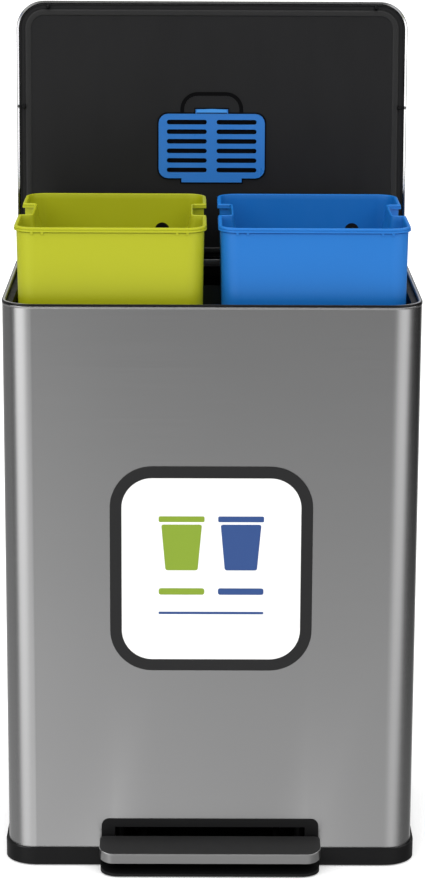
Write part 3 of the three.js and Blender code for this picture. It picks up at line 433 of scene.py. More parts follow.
# Brightness by direction, as soft boxes on a gradient from floor to ceiling. Only gloss mirrors it, and all
# other light from outside is even.
def buildStudio():
    d = studio
    world = bpy.data.worlds.new("studio")
    world.use_nodes = True
    bpy.context.scene.world = world
    tree = world.node_tree
    tree.nodes.clear()
    direction = addNode(tree, "ShaderNodeTexCoord").outputs["Generated"]
    axes = addNode(tree, "ShaderNodeSeparateXYZ", {0: direction}).outputs
    forward = times(tree, axes[1], -1.0)
    azimuth = times(tree, calc(tree, "ARCTAN2", axes[0], forward), 180 / math.pi)
    height = times(tree, calc(tree, "ARCSINE", axes[2]), 180 / math.pi)

    lowPart = ramp(tree, height, *d["lowRise"], d["low"], d["middle"])
    ground = less(tree, lowPart, ramp(tree, height, *d["highRise"], 0.0, d["middle"] - d["high"]))
    leftBelow, leftShare = d["leftLean"]
    rightBelow, rightShare = d["rightLean"]
    leftward = calc(tree, "ADD", azimuth, times(tree, calc(tree, "ADD", height, leftBelow), leftShare))
    rightward = less(tree, azimuth, times(tree, calc(tree, "ADD", height, rightBelow), rightShare))
    hollow = times(tree, band(tree, rightward, *d["hollowAt"]), d["hollow"])
    glowing = times(tree, ground, ramp(tree, azimuth, *d["frontGlow"]))
    front = times(tree, glowing, less(tree, 1.0, hollow))
    upright = band(tree, height, *d["boxTall"])
    leftBox = times(tree, ramp(tree, height, *d["boxRise"], *d["leftBox"]), upright)
    rightBox = times(tree, ramp(tree, height, *d["boxRise"], *d["rightBox"]), upright)
    dipBand = band(tree, leftward, *d["dipAt"])
    dip = times(tree, dipBand, ramp(tree, height, *d["sideRise"], 0.0, d["leftDip"]))
    leftSide = less(tree, ramp(tree, height, *d["sideRise"], *d["leftSide"]), dip)
    rightSide = ramp(tree, height, *d["sideRise"], *d["rightSide"])
    fromLeft = mixedBy(tree, ramp(tree, leftward, *d["leftOuter"]), leftSide, leftBox)
    toFront = mixedBy(tree, ramp(tree, leftward, *d["leftInner"]), fromLeft, front)
    toRight = mixedBy(tree, ramp(tree, rightward, *d["rightInner"]), toFront, rightBox)
    around = mixedBy(tree, ramp(tree, rightward, *d["rightOuter"]), toRight, rightSide)
    backPart = ramp(tree, height, *d["backRise"], d["backLow"], d["backHigh"])
    behind = ramp(tree, calc(tree, "ABSOLUTE", azimuth), *d["backStart"])
    above = times(tree, ramp(tree, height, *d["overheadRise"]), d["overhead"])
    gloss = calc(tree, "ADD", mixedBy(tree, behind, around, backPart), above)

    path = addNode(tree, "ShaderNodeLightPath").outputs
    seen, unseen = path["Is Camera Ray"], less(tree, 1.0, path["Is Camera Ray"])
    isGloss = times(tree, path["Is Glossy Ray"], unseen)
    soft = calc(tree, "ADD", times(tree, gloss, isGloss), times(tree, less(tree, 1.0, isGloss), d["fill"]))
    strength = calc(tree, "ADD", times(tree, seen, d["background"]), times(tree, soft, unseen))
    shine = addNode(tree, "ShaderNodeBackground", {"Color": (1, 1, 1, 1), "Strength": strength})
    output = addNode(tree, "ShaderNodeOutputWorld")
    tree.links.new(shine.outputs[0], output.inputs["Surface"])

    lamp = bpy.data.lights.new("softSun", "SUN")
    lamp.energy = d["sun"]
    lamp.angle = math.radians(d["sunWide"])
    sun = linked("softSun", lamp)
    high, aside = math.radians(d["sunHigh"]), math.radians(d["sunAside"])
    toSun = Vector((math.sin(aside) * math.cos(high), -math.cos(aside) * math.cos(high), math.sin(high)))
    sun.rotation_euler = toSun.to_track_quat("Z", "Y").to_euler()
    sun.visible_glossy = False


# A new node material, with its tree and its shader.
def newFinish(name):
    finish = bpy.data.materials.new(name)
    finish.use_nodes = True
    tree = finish.node_tree
    return finish, tree, tree.nodes["Principled BSDF"]


# Cloudy values about a half, finer with a larger scale.
def noise(tree, coords, scale, detail=2.0, rough=0.5, dims="3D"):
    inputs = {"Vector": coords, "Scale": scale, "Detail": detail, "Roughness": rough}
    return addNode(tree, "ShaderNodeTexNoise", inputs, noise_dimensions=dims).outputs["Fac"]


# The distance to the middle of the nearest cell.
def cellsOf(tree, coords, scale):
    return addNode(tree, "ShaderNodeTexVoronoi", {"Vector": coords, "Scale": scale}).outputs["Distance"]


# The piece's own coordinates, stretched by a scale.
def objectCoords(tree, scale=(1, 1, 1)):
    coords = addNode(tree, "ShaderNodeTexCoord").outputs["Object"]
    return addNode(tree, "ShaderNodeMapping", {"Vector": coords, "Scale": scale}).outputs[0]


# The lengths travelled over the surface, stretched by a scale.
def grainCoords(tree, scale):
    coords = addNode(tree, "ShaderNodeUVMap", uv_map="grain").outputs[0]
    return addNode(tree, "ShaderNodeMapping", {"Vector": coords, "Scale": scale}).outputs[0]


# A colour made darker by one factor and lighter by another, mixed by a value.
def shaded(tree, factor, colour, low, high):
    dark, light = (tuple(min(1.0, c * by) for c in colour) for by in (low, high))
    inputs = {0: factor, 6: (*dark, 1), 7: (*light, 1)}
    return addNode(tree, "ShaderNodeMix", inputs, data_type="RGBA").outputs[2]


# The normal leans as the height rises, and the height's full range is a distance in metres.
def bumpFrom(tree, height, strength, distance):
    inputs = {"Height": height, "Strength": strength, "Distance": distance}
    return addNode(tree, "ShaderNodeBump", inputs).outputs[0]


# Colour, roughness and normal go into the shader.
def plugIn(tree, shader, colour, rough, normal):
    for key, value in (("Base Color", colour), ("Roughness", rough), ("Normal", normal)):
        tree.links.new(value, shader.inputs[key])


# Moulded plastic: a fine spark-eroded grain in the bump, cloudy gloss, and colour that drifts slowly.
def mouldedPlastic(name, colour, rough=0.45, drift=0.05, grain=0.12, grainScale=1600, specular=0.5):
    finish, tree, shader = newFinish(name)
    coords = objectCoords(tree)
    cloud = noise(tree, coords, 9, 3)
    speck = noise(tree, coords, grainScale, 2)
    rubbed = noise(tree, objectCoords(tree, (55, 55, 9)), 1, 4, 0.6)
    mixed = shaded(tree, weighed(tree, speck, 0.3, cloud), colour, 1 - drift, 1 + drift)
    sheen = ramp(tree, weighed(tree, rubbed, 0.6, cloud), 0.3, 0.7, rough - 0.06, rough + 0.06)
    plugIn(tree, shader, mixed, sheen, bumpFrom(tree, speck, grain, 0.0002))
    shader.inputs["Specular IOR Level"].default_value = specular
    return finish


# Brushed steel: fine and coarse streaks along the grain change colour, gloss and bump, and the highlight
# spreads across the grain.
def brushedMetal(name, colour, rough=0.26, spread=0.72, streaks=0.02):
    finish, tree, shader = newFinish(name)
    fine = noise(tree, grainCoords(tree, (9, 2600, 1)), 1, 3, 0.6, "2D")
    coarse = noise(tree, grainCoords(tree, (3, 420, 1)), 1, 2, 0.5, "2D")
    cloud = noise(tree, objectCoords(tree), 5, 2)
    lines = weighed(tree, fine, 0.65, coarse)
    mixed = shaded(tree, ramp(tree, lines, 0.25, 0.75), colour, 1 - streaks, 1 + streaks)
    gloss = ramp(tree, weighed(tree, cloud, 0.4, lines), 0.3, 0.7, rough - 0.012, rough + 0.012)
    plugIn(tree, shader, mixed, gloss, bumpFrom(tree, lines, 0.02, 0.00003))
    tangent = addNode(tree, "ShaderNodeTangent", direction_type="UV_MAP", uv_map="grain").outputs[0]
    tree.links.new(tangent, shader.inputs["Tangent"])
    shader.inputs["Metallic"].default_value = 1
    shader.inputs["Anisotropic"].default_value = spread
    shader.inputs["Anisotropic Rotation"].default_value = 0.25
    return finish


# Zinc plate: small crystals in the colour, drawn streaks in the gloss, and a faint bump.
def zincPlate(name, colour):
    finish, tree, shader = newFinish(name)
    coords = objectCoords(tree)
    cloud = noise(tree, coords, 60, 4, 0.6)
    streak = noise(tree, objectCoords(tree, (900, 900, 40)), 1, 2)
    mixed = shaded(tree, weighed(tree, cellsOf(tree, coords, 420), 0.5, cloud), colour, 0.86, 1.12)
    sheen = ramp(tree, streak, 0.3, 0.7, 0.3, 0.44)
    plugIn(tree, shader, mixed, sheen, bumpFrom(tree, streak, 0.08, 0.00008))
    shader.inputs["Metallic"].default_value = 0.92
    return finish


# Soft rubber: matt, dusty in the hollows of a coarse grain.
def softRubber(name, colour):
    finish, tree, shader = newFinish(name)
    coords = objectCoords(tree)
    pores = noise(tree, coords, 700, 3, 0.6)
    dust = noise(tree, coords, 50, 4, 0.6)
    mixed = shaded(tree, times(tree, dust, pores), colour, 0.8, 1.8)
    plugIn(tree, shader, mixed, ramp(tree, pores, 0.3, 0.7, 0.7, 0.9), bumpFrom(tree, pores, 0.3, 0.0003))
    return finish


# Open-cell foam: cell walls stand out of dark cells.
def charcoalFoam(name, colour):
    finish, tree, shader = newFinish(name)
    coords = objectCoords(tree)
    fluff = noise(tree, coords, 1500, 3, 0.7)
    wall = times(tree, cellsOf(tree, coords, 650), fluff)
    mixed = shaded(tree, wall, colour, 0.4, 3)
    plugIn(tree, shader, mixed, ramp(tree, fluff, 0.3, 0.7, 0.85, 1.0), bumpFrom(tree, wall, 0.8, 0.0008))
    shader.inputs["Specular IOR Level"].default_value = 0.12
    return finish


floorLook = dict(wide=60.0, colour=(0.945, 0.945, 0.945), drift=0.015873, rough=0.9, specular=0.1, glow=0.24)


# White floor paint, with slow drifts that stay too faint to see as marks.
def floorPaint():
    d = floorLook
    finish, tree, shader = newFinish("floor_paint")
    cloud = noise(tree, objectCoords(tree), 1.2, 2)
    mixed = shaded(tree, cloud, d["colour"], 1 - d["drift"], 1 + d["drift"])
    tree.links.new(mixed, shader.inputs["Base Color"])
    shader.inputs["Roughness"].default_value = d["rough"]
    shader.inputs["Specular IOR Level"].default_value = d["specular"]
    shader.inputs["Emission Color"].default_value = (1, 1, 1, 1)
    shader.inputs["Emission Strength"].default_value = d["glow"]
    return finish


# The floor is one wide square, which gloss doesn't mirror.
def studioFloor():
    wide = floorLook["wide"]
    mesh = bpy.data.meshes.new("studio_floor")
    corners = [(-wide, -wide, 0), (wide, -wide, 0), (wide, wide, 0), (-wide, wide, 0)]
    mesh.from_pydata(corners, [], [(0, 1, 2, 3)])
    mesh.materials.append(floorPaint())
    floor = linked("studio_floor", mesh)
    floor.visible_glossy = False


finishes = dict(
    steel=brushedMetal("brushed_steel", (0.45, 0.45, 0.452)),
    lidSteel=brushedMetal("brushed_lid_steel", (0.46, 0.46, 0.462), 0.24),
    pedalSteel=brushedMetal("brushed_pedal_steel", (0.45, 0.45, 0.45), 0.3, 0.5),
    # a much brighter copy of the steel, painting the highlight along the lid's hem
    paintedHighlightSteel=brushedMetal("painted_highlight_steel", (0.78, 0.78, 0.79), 0.2, 0.3),
    # light grey that paints the highlight along the rim bead's inner edge
    paintedHighlightEdge=mouldedPlastic("painted_highlight_edge", (0.34, 0.34, 0.345), 0.35, 0.05, 0.05, specular=0.7),
    zinc=zincPlate("zinc_plate", (0.42, 0.43, 0.44)),
    darkZinc=zincPlate("dark_zinc_plate", (0.05, 0.05, 0.052)),
    black=mouldedPlastic("black_plastic", (0.005, 0.005, 0.0053), 0.42, 0.1, 0.16, specular=0.16),
    glossBlack=mouldedPlastic("gloss_black_plastic", (0.005, 0.005, 0.0053), 0.25, 0.1, 0.05, specular=0.3),
    # near black painting the dark reflection of the pedal's steel top
    padPaintedReflection=mouldedPlastic("pedal_pad_painted_reflection", (0.012, 0.012, 0.0123), 0.5, 0.1, 0.2, specular=0.35),
    grey=mouldedPlastic("grey_plastic", (0.0088, 0.0088, 0.0094), 0.5, 0.08, 0.2, 1100, 0.3),
    green=mouldedPlastic("green_plastic", (0.385, 0.407, 0.0055), 0.42, 0.035, 0.08, specular=0.35),
    blue=mouldedPlastic("blue_plastic", (0.006, 0.147, 0.49), 0.42, 0.04, 0.08, specular=0.35),
    coverBlue=mouldedPlastic("cover_blue_plastic", (0.006, 0.155, 0.52), 0.32, 0.04, 0.08, specular=0.75),
    # a lighter copy of the liner's grey, painted light where the raised seal catches it
    seal=mouldedPlastic("lid_seal_painted_light", (0.0145, 0.0145, 0.0147), 0.55, 0.08, 0.1, 1100, 0.35),
    # near black for the arch's inlay, and for the painted shade round the filter cover and under its latch
    inlay=mouldedPlastic("inlay_and_shade_black", (0.0016, 0.0016, 0.002), 0.6, 0.2, 0.1, 1100, 0.1),
    # a lighter copy of the cover's blue, painted light where the latch lip faces up
    lipPaintedLightBlue=mouldedPlastic("latch_painted_light_blue", (0.035, 0.235, 0.62), 0.42, 0.04, 0.08, specular=0.4),
    rubber=softRubber("soft_rubber", (0.006, 0.006, 0.006)),
    foam=charcoalFoam("charcoal_foam", (0.0022, 0.0022, 0.003)),
    printGreen=mouldedPlastic("badge_green_print", (0.21, 0.32, 0.012), 0.45, 0.03, 0.03),
    printBlue=mouldedPlastic("badge_blue_print", (0.014, 0.058, 0.216), 0.45, 0.03, 0.03),
    badgeGrey=mouldedPlastic("badge_grey_print", (0.0125, 0.0125, 0.013), 0.5, 0.04, 0.05, specular=0.3),
    badgeWhite=mouldedPlastic("badge_white_print", (0.86, 0.86, 0.85), 0.4, 0.01, 0.03),
)
print("finishes made:", len(finishes))

bodyLook = dict(
    half=245, depth=327, corner=35, arcSteps=14, wall=0.8, low=12.3, top=687.7, footRow=4, middleRow=300,
    windowHalf=118, windowTop=52.5, windowStep=0.06, frontStops=(-60, 0, 60), lipOut=0.42, lipTall=1.9,
)


# The body's outline from above, with a point at each stop asked for on its front.
def bodyPath(frontStops=()):
    d = bodyLook
    stops = {"front": list(frontStops)}
    return outlinePath(-d["half"], d["half"], 0, d["depth"], d["corner"], stops, d["arcSteps"])


# The steel's section, a wall with a rolled lip, is carried round the body. Where the pedal's window is, the
# wall's lower edge is higher.
def steelBody():
    d = bodyLook
    edge, step = d["windowHalf"], d["windowStep"]
    path = bodyPath((-edge - step, -edge, edge, edge + step) + d["frontStops"])
    top, wall, out, tall = d["top"], d["wall"], d["lipOut"], d["lipTall"]
    low, foot = d["low"], d["low"] + d["footRow"]
    roll = (out + wall) / 2
    lip = arcLine(roll - wall, top - roll, roll, [0, 25, 50, 75, 100, 130, 160, 180])
    rise = [(0, top - tall - 1), (0, top - tall), (out * 0.35, top - tall * 0.78)]
    profile = np.concatenate([[(0, low), (0, foot), (0, d["middleRow"])], rise, lip,
                              [(-wall, top - tall), (-wall, foot), (-wall, low)]])
    points = carried(path, profile)
    x, y = path[0][:, 0], path[0][:, 1]
    window = (np.abs(x) <= edge) & (y < 1)
    for row in (0, 1, -2, -1):
        points[row, window, 2] += d["windowTop"] - low
    return makePiece("steel_body", [gridSheet(points, True)], standing, "steel", "frame",
                     ["body_shell"])


beadLook = dict(out=0.5, inward=2.2, low=688.0, top=690.6, cuts=(0.3, 0.3, 1.1, 1.1), backShare=0.02)


# A rounded bar is carried round the steel's top edge, thinner along the back where the hinges turn.
def rimBead():
    d, b = beadLook, bodyLook
    points = carried(bodyPath(), barProfile(-d["inward"], d["out"], d["low"], d["top"], d["cuts"]))
    x, y = points[..., 0], points[..., 1]
    behind = (np.abs(x) < b["half"] - b["corner"]) & (y > b["depth"] - b["corner"])
    thinner = b["depth"] - b["wall"] + d["backShare"] * (b["depth"] - y[behind])
    y[behind] = np.maximum(y[behind], thinner)
    return makePiece("rim_bead_bar", [gridSheet(points, True)], standing, "glossBlack", "frame",
                     ["rim_bead"])


paintedHighlightLook = dict(
    start=2.3, end=3.3, low=686.5, top=690.3, cuts=(0.1, 0.1, 0.45, 0.45), behind=0.5, behindShare=0.05,
    sideStart=0.8, sideRise=0.42, sidePull=1.3,
)


# A thin light strip, a painted highlight, is carried round inside the bead; along the back it is tucked into
# the bead.
def rimPaintedHighlight():
    d, b = paintedHighlightLook, bodyLook
    path = bodyPath()
    bar = barProfile(-d["end"], -d["start"], d["low"], d["top"], d["cuts"])
    points = carried(path, bar)
    x, y = points[..., 0], points[..., 1]
    # at the sides the painted highlight is wider and stands a little higher
    aside = np.minimum(1.0, d["sidePull"] * np.abs(path[1][:, 0]))
    upper = bar[:, 1] > (d["low"] + d["top"]) / 2
    points[upper, :, 2] += d["sideRise"] * aside
    outer = upper & (bar[:, 0] > -(d["start"] + d["end"]) / 2)
    points[outer, :, :2] += ((d["start"] - d["sideStart"]) * aside ** 3)[:, None] * path[1]
    behind = (np.abs(x) < b["half"] - b["corner"] + 2) & (y > b["depth"] - b["corner"])
    y[behind] = b["depth"] - d["behind"] + d["behindShare"] * (b["depth"] - y[behind] - d["start"])
    return makePiece("rim_painted_highlight", [gridSheet(points, True)], standing, "paintedHighlightEdge", "frame")


# The lid's y is from its hinge axis, negative towards its front edge, and its z from the rim's height.
lidLook = dict(
    half=245, front=-322, back=5, corner=35, arcSteps=14, frontStops=(-120, 0, 120), top=18, skirt=1,
    round=4, wall=0.8, hem=3, rearSkirt=7, rearEdge=-1.6, roll=0.7, hemRise=1.15, skirtRow=7.6,
)


# The lid's outline from above.
def lidPath():
    d = lidLook
    stops = {"front": d["frontStops"]}
    return outlinePath(-d["half"], d["half"], d["front"], d["back"], d["corner"], stops, d["arcSteps"])


# The lid's section, a skirt with a hem under a flat top, is carried round; its rear skirt stops higher.
def lidShell():
    d, path = lidLook, lidPath()
    top, wall, r, skirt, roll = (d[k] for k in ("top", "wall", "round", "skirt", "roll"))
    quarter = np.linspace(0, 90, 8)
    over = arcLine(-r, top - r, r, quarter)
    under = arcLine(-r, top - r, r - wall, quarter[::-1])
    bend = arcLine(-roll, skirt + roll, roll, np.linspace(235, 360, 9))
    hemBack = [(-wall, d["skirtRow"]), (-wall, skirt + 3.6), (-1.7, skirt + 3.1), (-2.6, skirt + 2.6)]
    inner = np.concatenate([[(-r - 28, top - wall), (-r - 3, top - wall)], under, hemBack])
    outer = np.concatenate([[(-d["hem"], skirt + d["hemRise"])], bend, [(0, d["skirtRow"])], over,
                            [(-r - 3, top), (-r - 28, top)]])
    profile = np.concatenate([inner, outer])
    # behind, the hem's rows are spread over the wall's lower edge
    cutOff = profile.copy()
    lower = cutOff[:, 1] < d["rearSkirt"]
    cutOff[lower] = np.stack([np.linspace(-wall, 0, lower.sum()), np.full(lower.sum(), d["rearSkirt"])], 1)
    whole = carried(path, profile)
    # in front the hem lies flat, and at the sides it leans inward
    leaning = whole[len(inner):len(inner) + 4, :, 2]
    leaning[:] = skirt + (leaning - skirt) * np.abs(path[1][:, 0])
    rear = path[0][:, 1] > d["rearEdge"]
    whole[:, rear] = carried(path, cutOff)[:, rear]
    return makePiece("lid_skin", [gridSheet(whole)], onLid, "lidSteel", "lid",
                     ["lid_shell"])


hemHighlightLook = dict(start=0.95, end=2.85, bendEnd=1.1, proud=0.14, thick=0.4, tuck=0.9, rear=-20,
                   rearTuck=8.5)


# A bright strip, a painted highlight, lies on the hem's leaning face at the sides, and is tucked behind it
# in front and behind.
def lidHemHighlight():
    d, lid, path = hemHighlightLook, lidLook, lidPath()
    rise = lid["hemRise"] / (lid["hem"] - d["bendEnd"])
    near, far = (lid["skirt"] - d["proud"] + (d[k] - d["bendEnd"]) * rise for k in ("start", "end"))
    bar = np.array([(-d["end"], far), (-d["start"], near), (-d["start"], near + d["thick"]),
                    (-d["end"], far + d["thick"])])
    points = carried(path, bar)
    points[..., 2] += d["tuck"] * (1 - np.abs(path[1][:, 0]))
    points[:, path[0][:, 1] > d["rear"], 2] += d["rearTuck"]
    return makePiece("lid_hem_highlight", [gridSheet(points, True)], onLid, "paintedHighlightSteel", "lid")


bumperLook = dict(
    base=2.6, tip=1.5, low=-5.6, high=0.9,
    places=((-205, -314.5), (205, -314.5), (-235.6, -190), (235.6, -190)),
)


# A small stop that narrows toward its tip: circles stacked from its tip up to the liner.
def lidBumper(number, x, y):
    d = bumperLook
    rows = [(d["tip"] * 0.5, d["low"]), (d["tip"], d["low"] + 0.4), (d["base"] * 0.8, -1.0),
            (d["base"], d["high"])]
    rings = np.stack([atHeight(circleLine(x, y, radius), z) for radius, z in rows])
    return makePiece(f"lid_stop_{number}", [gridSheet(rings)], onLid, "black", "lid",
                     [f"lid_bumper_{number}"])


linerLook = dict(
    low=0.8, top=3.3, edge=4.4, rimEnd=5.2, deep=2.85, deepEnd=10.6, inEnd=30, ridgeEnd=18, rearEdge=-1.6,
    hingeCuts=((165, 213), (-213, -165), (108.8, 138)), hingeDeep=12,  # for both hinges and the damper
    cutLow=-4, cutHigh=9, trayHalf=58.3, trayFar=173.9, trayNear=109.2, trayTop=10.9, trayWall=1.5,
)
sealLook = dict(inner=19, outer=11, low=-0.4, top=2.8, cuts=(2.8, 2, 0.2, 0.2), steps=5)


# A plate with a thin rim and a trough inside it, carried round the lid, with the filter's tray on its back
# and a raised seal round its edge.
def lidLiner():
    d, path = linerLook, lidPath()
    low, top, deep, edge = d["low"], d["top"], d["deep"], d["edge"]
    rim, end = d["rimEnd"], d["deepEnd"]
    profile = np.array([
        (-d["inEnd"], low), (-end - 0.3, low), (-end - 0.1, low + 0.2), (-end, deep - 0.4),
        (-end + 0.4, deep), (-rim - 0.6, deep), (-rim - 0.1, deep - 0.4), (-rim, low + 0.2),
        (-rim + 0.2, low), (-edge - 0.25, low), (-edge, low + 0.25), (-edge, top - 0.2),
        (-edge - 0.2, top), (-d["ridgeEnd"], top), (-d["inEnd"], top)])
    piece = makePiece("lid_liner_plate", [gridSheet(carried(path, profile))], onLid,
                      "grey", "lid", ["lid_liner"])
    half, far, near, wall = d["trayHalf"], -d["trayFar"], -d["trayNear"], d["trayWall"]
    below, above = d["cutLow"], d["cutHigh"]
    gaps = [slab(x0, x1, -d["hingeDeep"], above, below, above) for x0, x1 in d["hingeCuts"]]
    gaps.append(slab(-300, 300, d["rearEdge"], 30, -6, 11))
    well = slab(-half, half, far, near, below, d["trayTop"] - wall)
    cutAway(piece, gaps + [well, archSheet(0, below, low + archLook["deep"])], onLid)
    box = outlinePath(-half, half, far, near, 1.0, None, 3)
    tray = np.array([(0, d["trayTop"] - wall), (0, low + 0.6), (wall, low + 0.6), (wall, d["trayTop"])])
    makePiece("filter_tray", [gridSheet(carried(box, tray))], onLid, "grey",
              "lid")
    s = sealLook
    seal = barProfile(-s["inner"], -s["outer"], s["low"], s["top"], s["cuts"], s["steps"])
    # the seal's lighter grey is painted light on the ridge
    ring = makePiece("lid_seal", [gridSheet(carried(path, seal), True)], onLid, "seal", "lid")
    cutAway(ring, gaps, onLid)


archLook = dict(half=39.7, far=-209.2, near=-182.6, corner=22, square=0.4, stroke=5, sill=0.5, deep=1.8,
                inlay=(-0.1, 1.7, 2.5))
fineHold = 0.2  # how near to an arc the points of a small outline are held


# The arch over the filter: the space between two round-topped outlines, grown or shrunk by a margin.
def archSheet(margin, low, high):
    d = archLook
    square, stroke = d["square"], d["stroke"] + margin
    outer, inner = d["corner"] + margin, d["corner"] - stroke
    around = outlinePath(-d["half"] - margin, d["half"] + margin, d["far"] - margin, d["near"],
                         (square, outer, outer, square), hold=fineHold)[0]
    within = outlinePath(-d["half"] + stroke, d["half"] - stroke, d["far"] + stroke, d["near"] - d["sill"],
                         (square, inner, inner, square), hold=fineHold)[0]
    return frameSheet(around, within, low, high)


# seat is the width of the ring of painted shade round the cover
filterLook = dict(
    half=67.6, far=-182.6, near=-100.5, corner=12, front=-2.5, drawnIn=0.8,
    seat=1.1, shadeLow=0.52, shadeHigh=1.3, flapHigh=1.2, opening=(-59, 59, -174.6, -108.5), openingCorner=2,
    latchHalf=20.7, latchFar=-188.4, latchRoot=-180, tabHalf=38.4, tabNear=-95.3, tabRoot=-103,
    slotHalf=19.3, shadowFar=-183.5, shadowNear=-182.4, lipHalf=18.4, lipRoot=-183.7, lipRise=0.8,
)


# Round the cover a dark ring of painted shade shows as a thin line; the latch has a dark strip of painted
# shadow at its root, and a leaning lip.
def filterSurround():
    d = filterLook
    s, half, low = d["seat"], d["half"], d["shadeLow"]
    outer = outlinePath(-half - s, half + s, d["far"] - s, d["near"] + s, d["corner"] + s, hold=fineHold)[0]
    inner = outlinePath(*d["opening"], d["openingCorner"], hold=fineHold)[0]
    latch = slab(-d["latchHalf"] - s, d["latchHalf"] + s, d["latchFar"] - s, d["latchRoot"], low,
                 d["flapHigh"])
    tabs = slab(-d["tabHalf"] - s, d["tabHalf"] + s, d["tabRoot"], d["tabNear"] + s, low, d["flapHigh"])
    sheets = [frameSheet(outer, inner, low, d["shadeHigh"]), latch, tabs]
    # a dark ring painted as the shade in the gap round the cover
    makePiece("filter_shade_ring", sheets, onLid, "inlay", "lid")
    makePiece("lid_arch_inlay", [archSheet(*archLook["inlay"])], onLid, "inlay", "lid")
    front, far, root, wide = d["front"], d["latchFar"], d["lipRoot"], d["lipHalf"]
    # a dark strip painted as the shadow under the latch lip
    slot = slab(-d["slotHalf"], d["slotHalf"], d["shadowFar"], d["shadowNear"], front - 0.06, front + 0.3)
    makePiece("latch_shadow_strip", [slot], onLid, "inlay", "filter_door")
    corners = [(-wide, far + 1.1), (0, far + 0.1), (wide, far + 1.1), (wide + 1, root), (-wide - 1, root)]
    lip = plateSheet(corners, [0.9, 6, 0.9, 0.4, 0.4], front + 0.3, 0)
    face = lip["points"][1]
    face[:, 2] = front - 0.15 - d["lipRise"] * (face[:, 1] - far) / (root - far)
    lip["points"] = lip["points"][::-1]  # its face is its lower row, so the rows change places
    # the lip's lighter blue is painted light
    makePiece("latch_lip", [lip], onLid, "lipPaintedLightBlue", "filter_door")


bucketLook = dict(
    front=18, back=294, low=187.8, high=589, corner=25, draft=0.0153, wall=2, bottom=2.5,
    flangeOut=2.8, flangeHigh=5.5, pocketHalf=45.5, pocketMiddle=162, pocketDeep=14, pocketCorner=6,
    pocketHigh=34, pocketSide=0.6, pocketLean=4.5, leanStart=7, tuckHole=9, tuckDrop=45, tuckAside=57,
    nubs=(-90, -78, 78, 90), nubWide=3.4, nubHigh=2.8, nubOut=1.9, nubEdge=0.4,
)
bucketSpans = dict(green=(-231.0, -6.7), blue=(6.7, 231.0))  # each bucket's two sides


# One end of a finger pocket seen from above, for a surface `wall` inside the outer one: a small arc over the
# edge, a straight side, and a large arc into the pocket's back. A lip stands out of the edge and the side.
# Gives distance into the pocket, and depth.
def pocketEnd(wall, lip):
    d = bucketLook
    over = np.radians([0, 30, 60, 90])
    small = np.where(wall < 1, 0.9, 0.4)
    edgeAlong = lip - wall + small * (np.sin(over) - 1)
    edgeDeep = wall - lip + small * (1 - np.cos(over))
    bend = np.radians([0, 18, 36, 54, 72, 90])
    r, side = d["pocketCorner"], d["pocketSide"]
    bendAlong = side + r - (r + wall) * np.cos(bend) + lip * np.cos(bend)
    bendDeep = d["pocketDeep"] - r + (r + wall) * np.sin(bend)
    lastAlong = np.full_like(wall, side + r + 1.5)
    lastDeep = d["pocketDeep"] + wall
    along = np.concatenate([edgeAlong, bendAlong, lastAlong], 1)
    deep = np.concatenate([edgeDeep, bendDeep, lastDeep], 1)
    return along, deep


# Where the bucket's outline has a point for each of those of a pocket's end, from the end inwards.
pocketStops = np.array([-2.4, -1.9, -1.4, -0.9, 0.0, 1.2, 2.4, 3.6, 4.8, 6.6, 8.1])


# Rows of (height under the rim, wall, flange share, pocket share), up the outside and down the inside.
# Under the flange runs a small hollow, and a groove parts its upper bead from its lower band.
def bucketRows():
    d = bucketLook
    high, wall, drop = d["high"], d["wall"], d["pocketHigh"]
    turn = np.radians(np.linspace(0, 90, 5))
    foot = [(high - 3 * (1 - math.cos(t)), 3 * (1 - math.sin(t)), 0, 0) for t in turn]
    rise = [(high - 12, 0, 0, 0), (high / 2, 0, 0, 0), (drop + 3, 0, 0, 0)]
    steps = [(1.6, 0), (1.0, 0.06), (0.4, 0.2), (-0.4, 0.8), (-1.0, 0.94), (-1.8, 1), (-3.5, 1)]
    floorOut = [(drop + h, 0, 0, f) for h, f in steps]
    f = d["flangeHigh"]
    shape = [(f + 2.0, 0), (f + 1.3, -0.03), (f + 0.9, -0.34), (f + 0.1, -0.36), (f, -0.1), (f, 0.86),
             (f - 0.12, 0.97), (f - 0.4, 1), (f - 1.9, 1), (f - 2.2, 0.97), (f - 2.4, 0.72), (f - 2.9, 0.68),
             (f - 3.1, 0.86), (1.3, 0.86), (0.6, 0.76), (0.2, 0.55), (0, 0.25)]
    flange = [(h, 0, out, 1) for h, out in shape]
    top = [(0, 0.7, 0, 1), (0.1, 1.3, 0, 1), (0.4, 1.8, 0, 1), (0.9, wall, 0, 1), (f + 1.7, wall, 0, 1)]
    floorIn = [(drop + wall + h, wall, 0, g) for h, g in steps[::-1]]
    down = [(drop + 6, wall, 0, 0), (high / 2, wall, 0, 0), (high - 14, wall, 0, 0)]
    inLow = high - d["bottom"]
    well = [(inLow - 4 * (1 - math.sin(t)), wall + 4 * (1 - math.cos(t)), 0, 0) for t in turn]
    return np.array(foot + rise + floorOut + flange + top + floorIn + down + well, float)


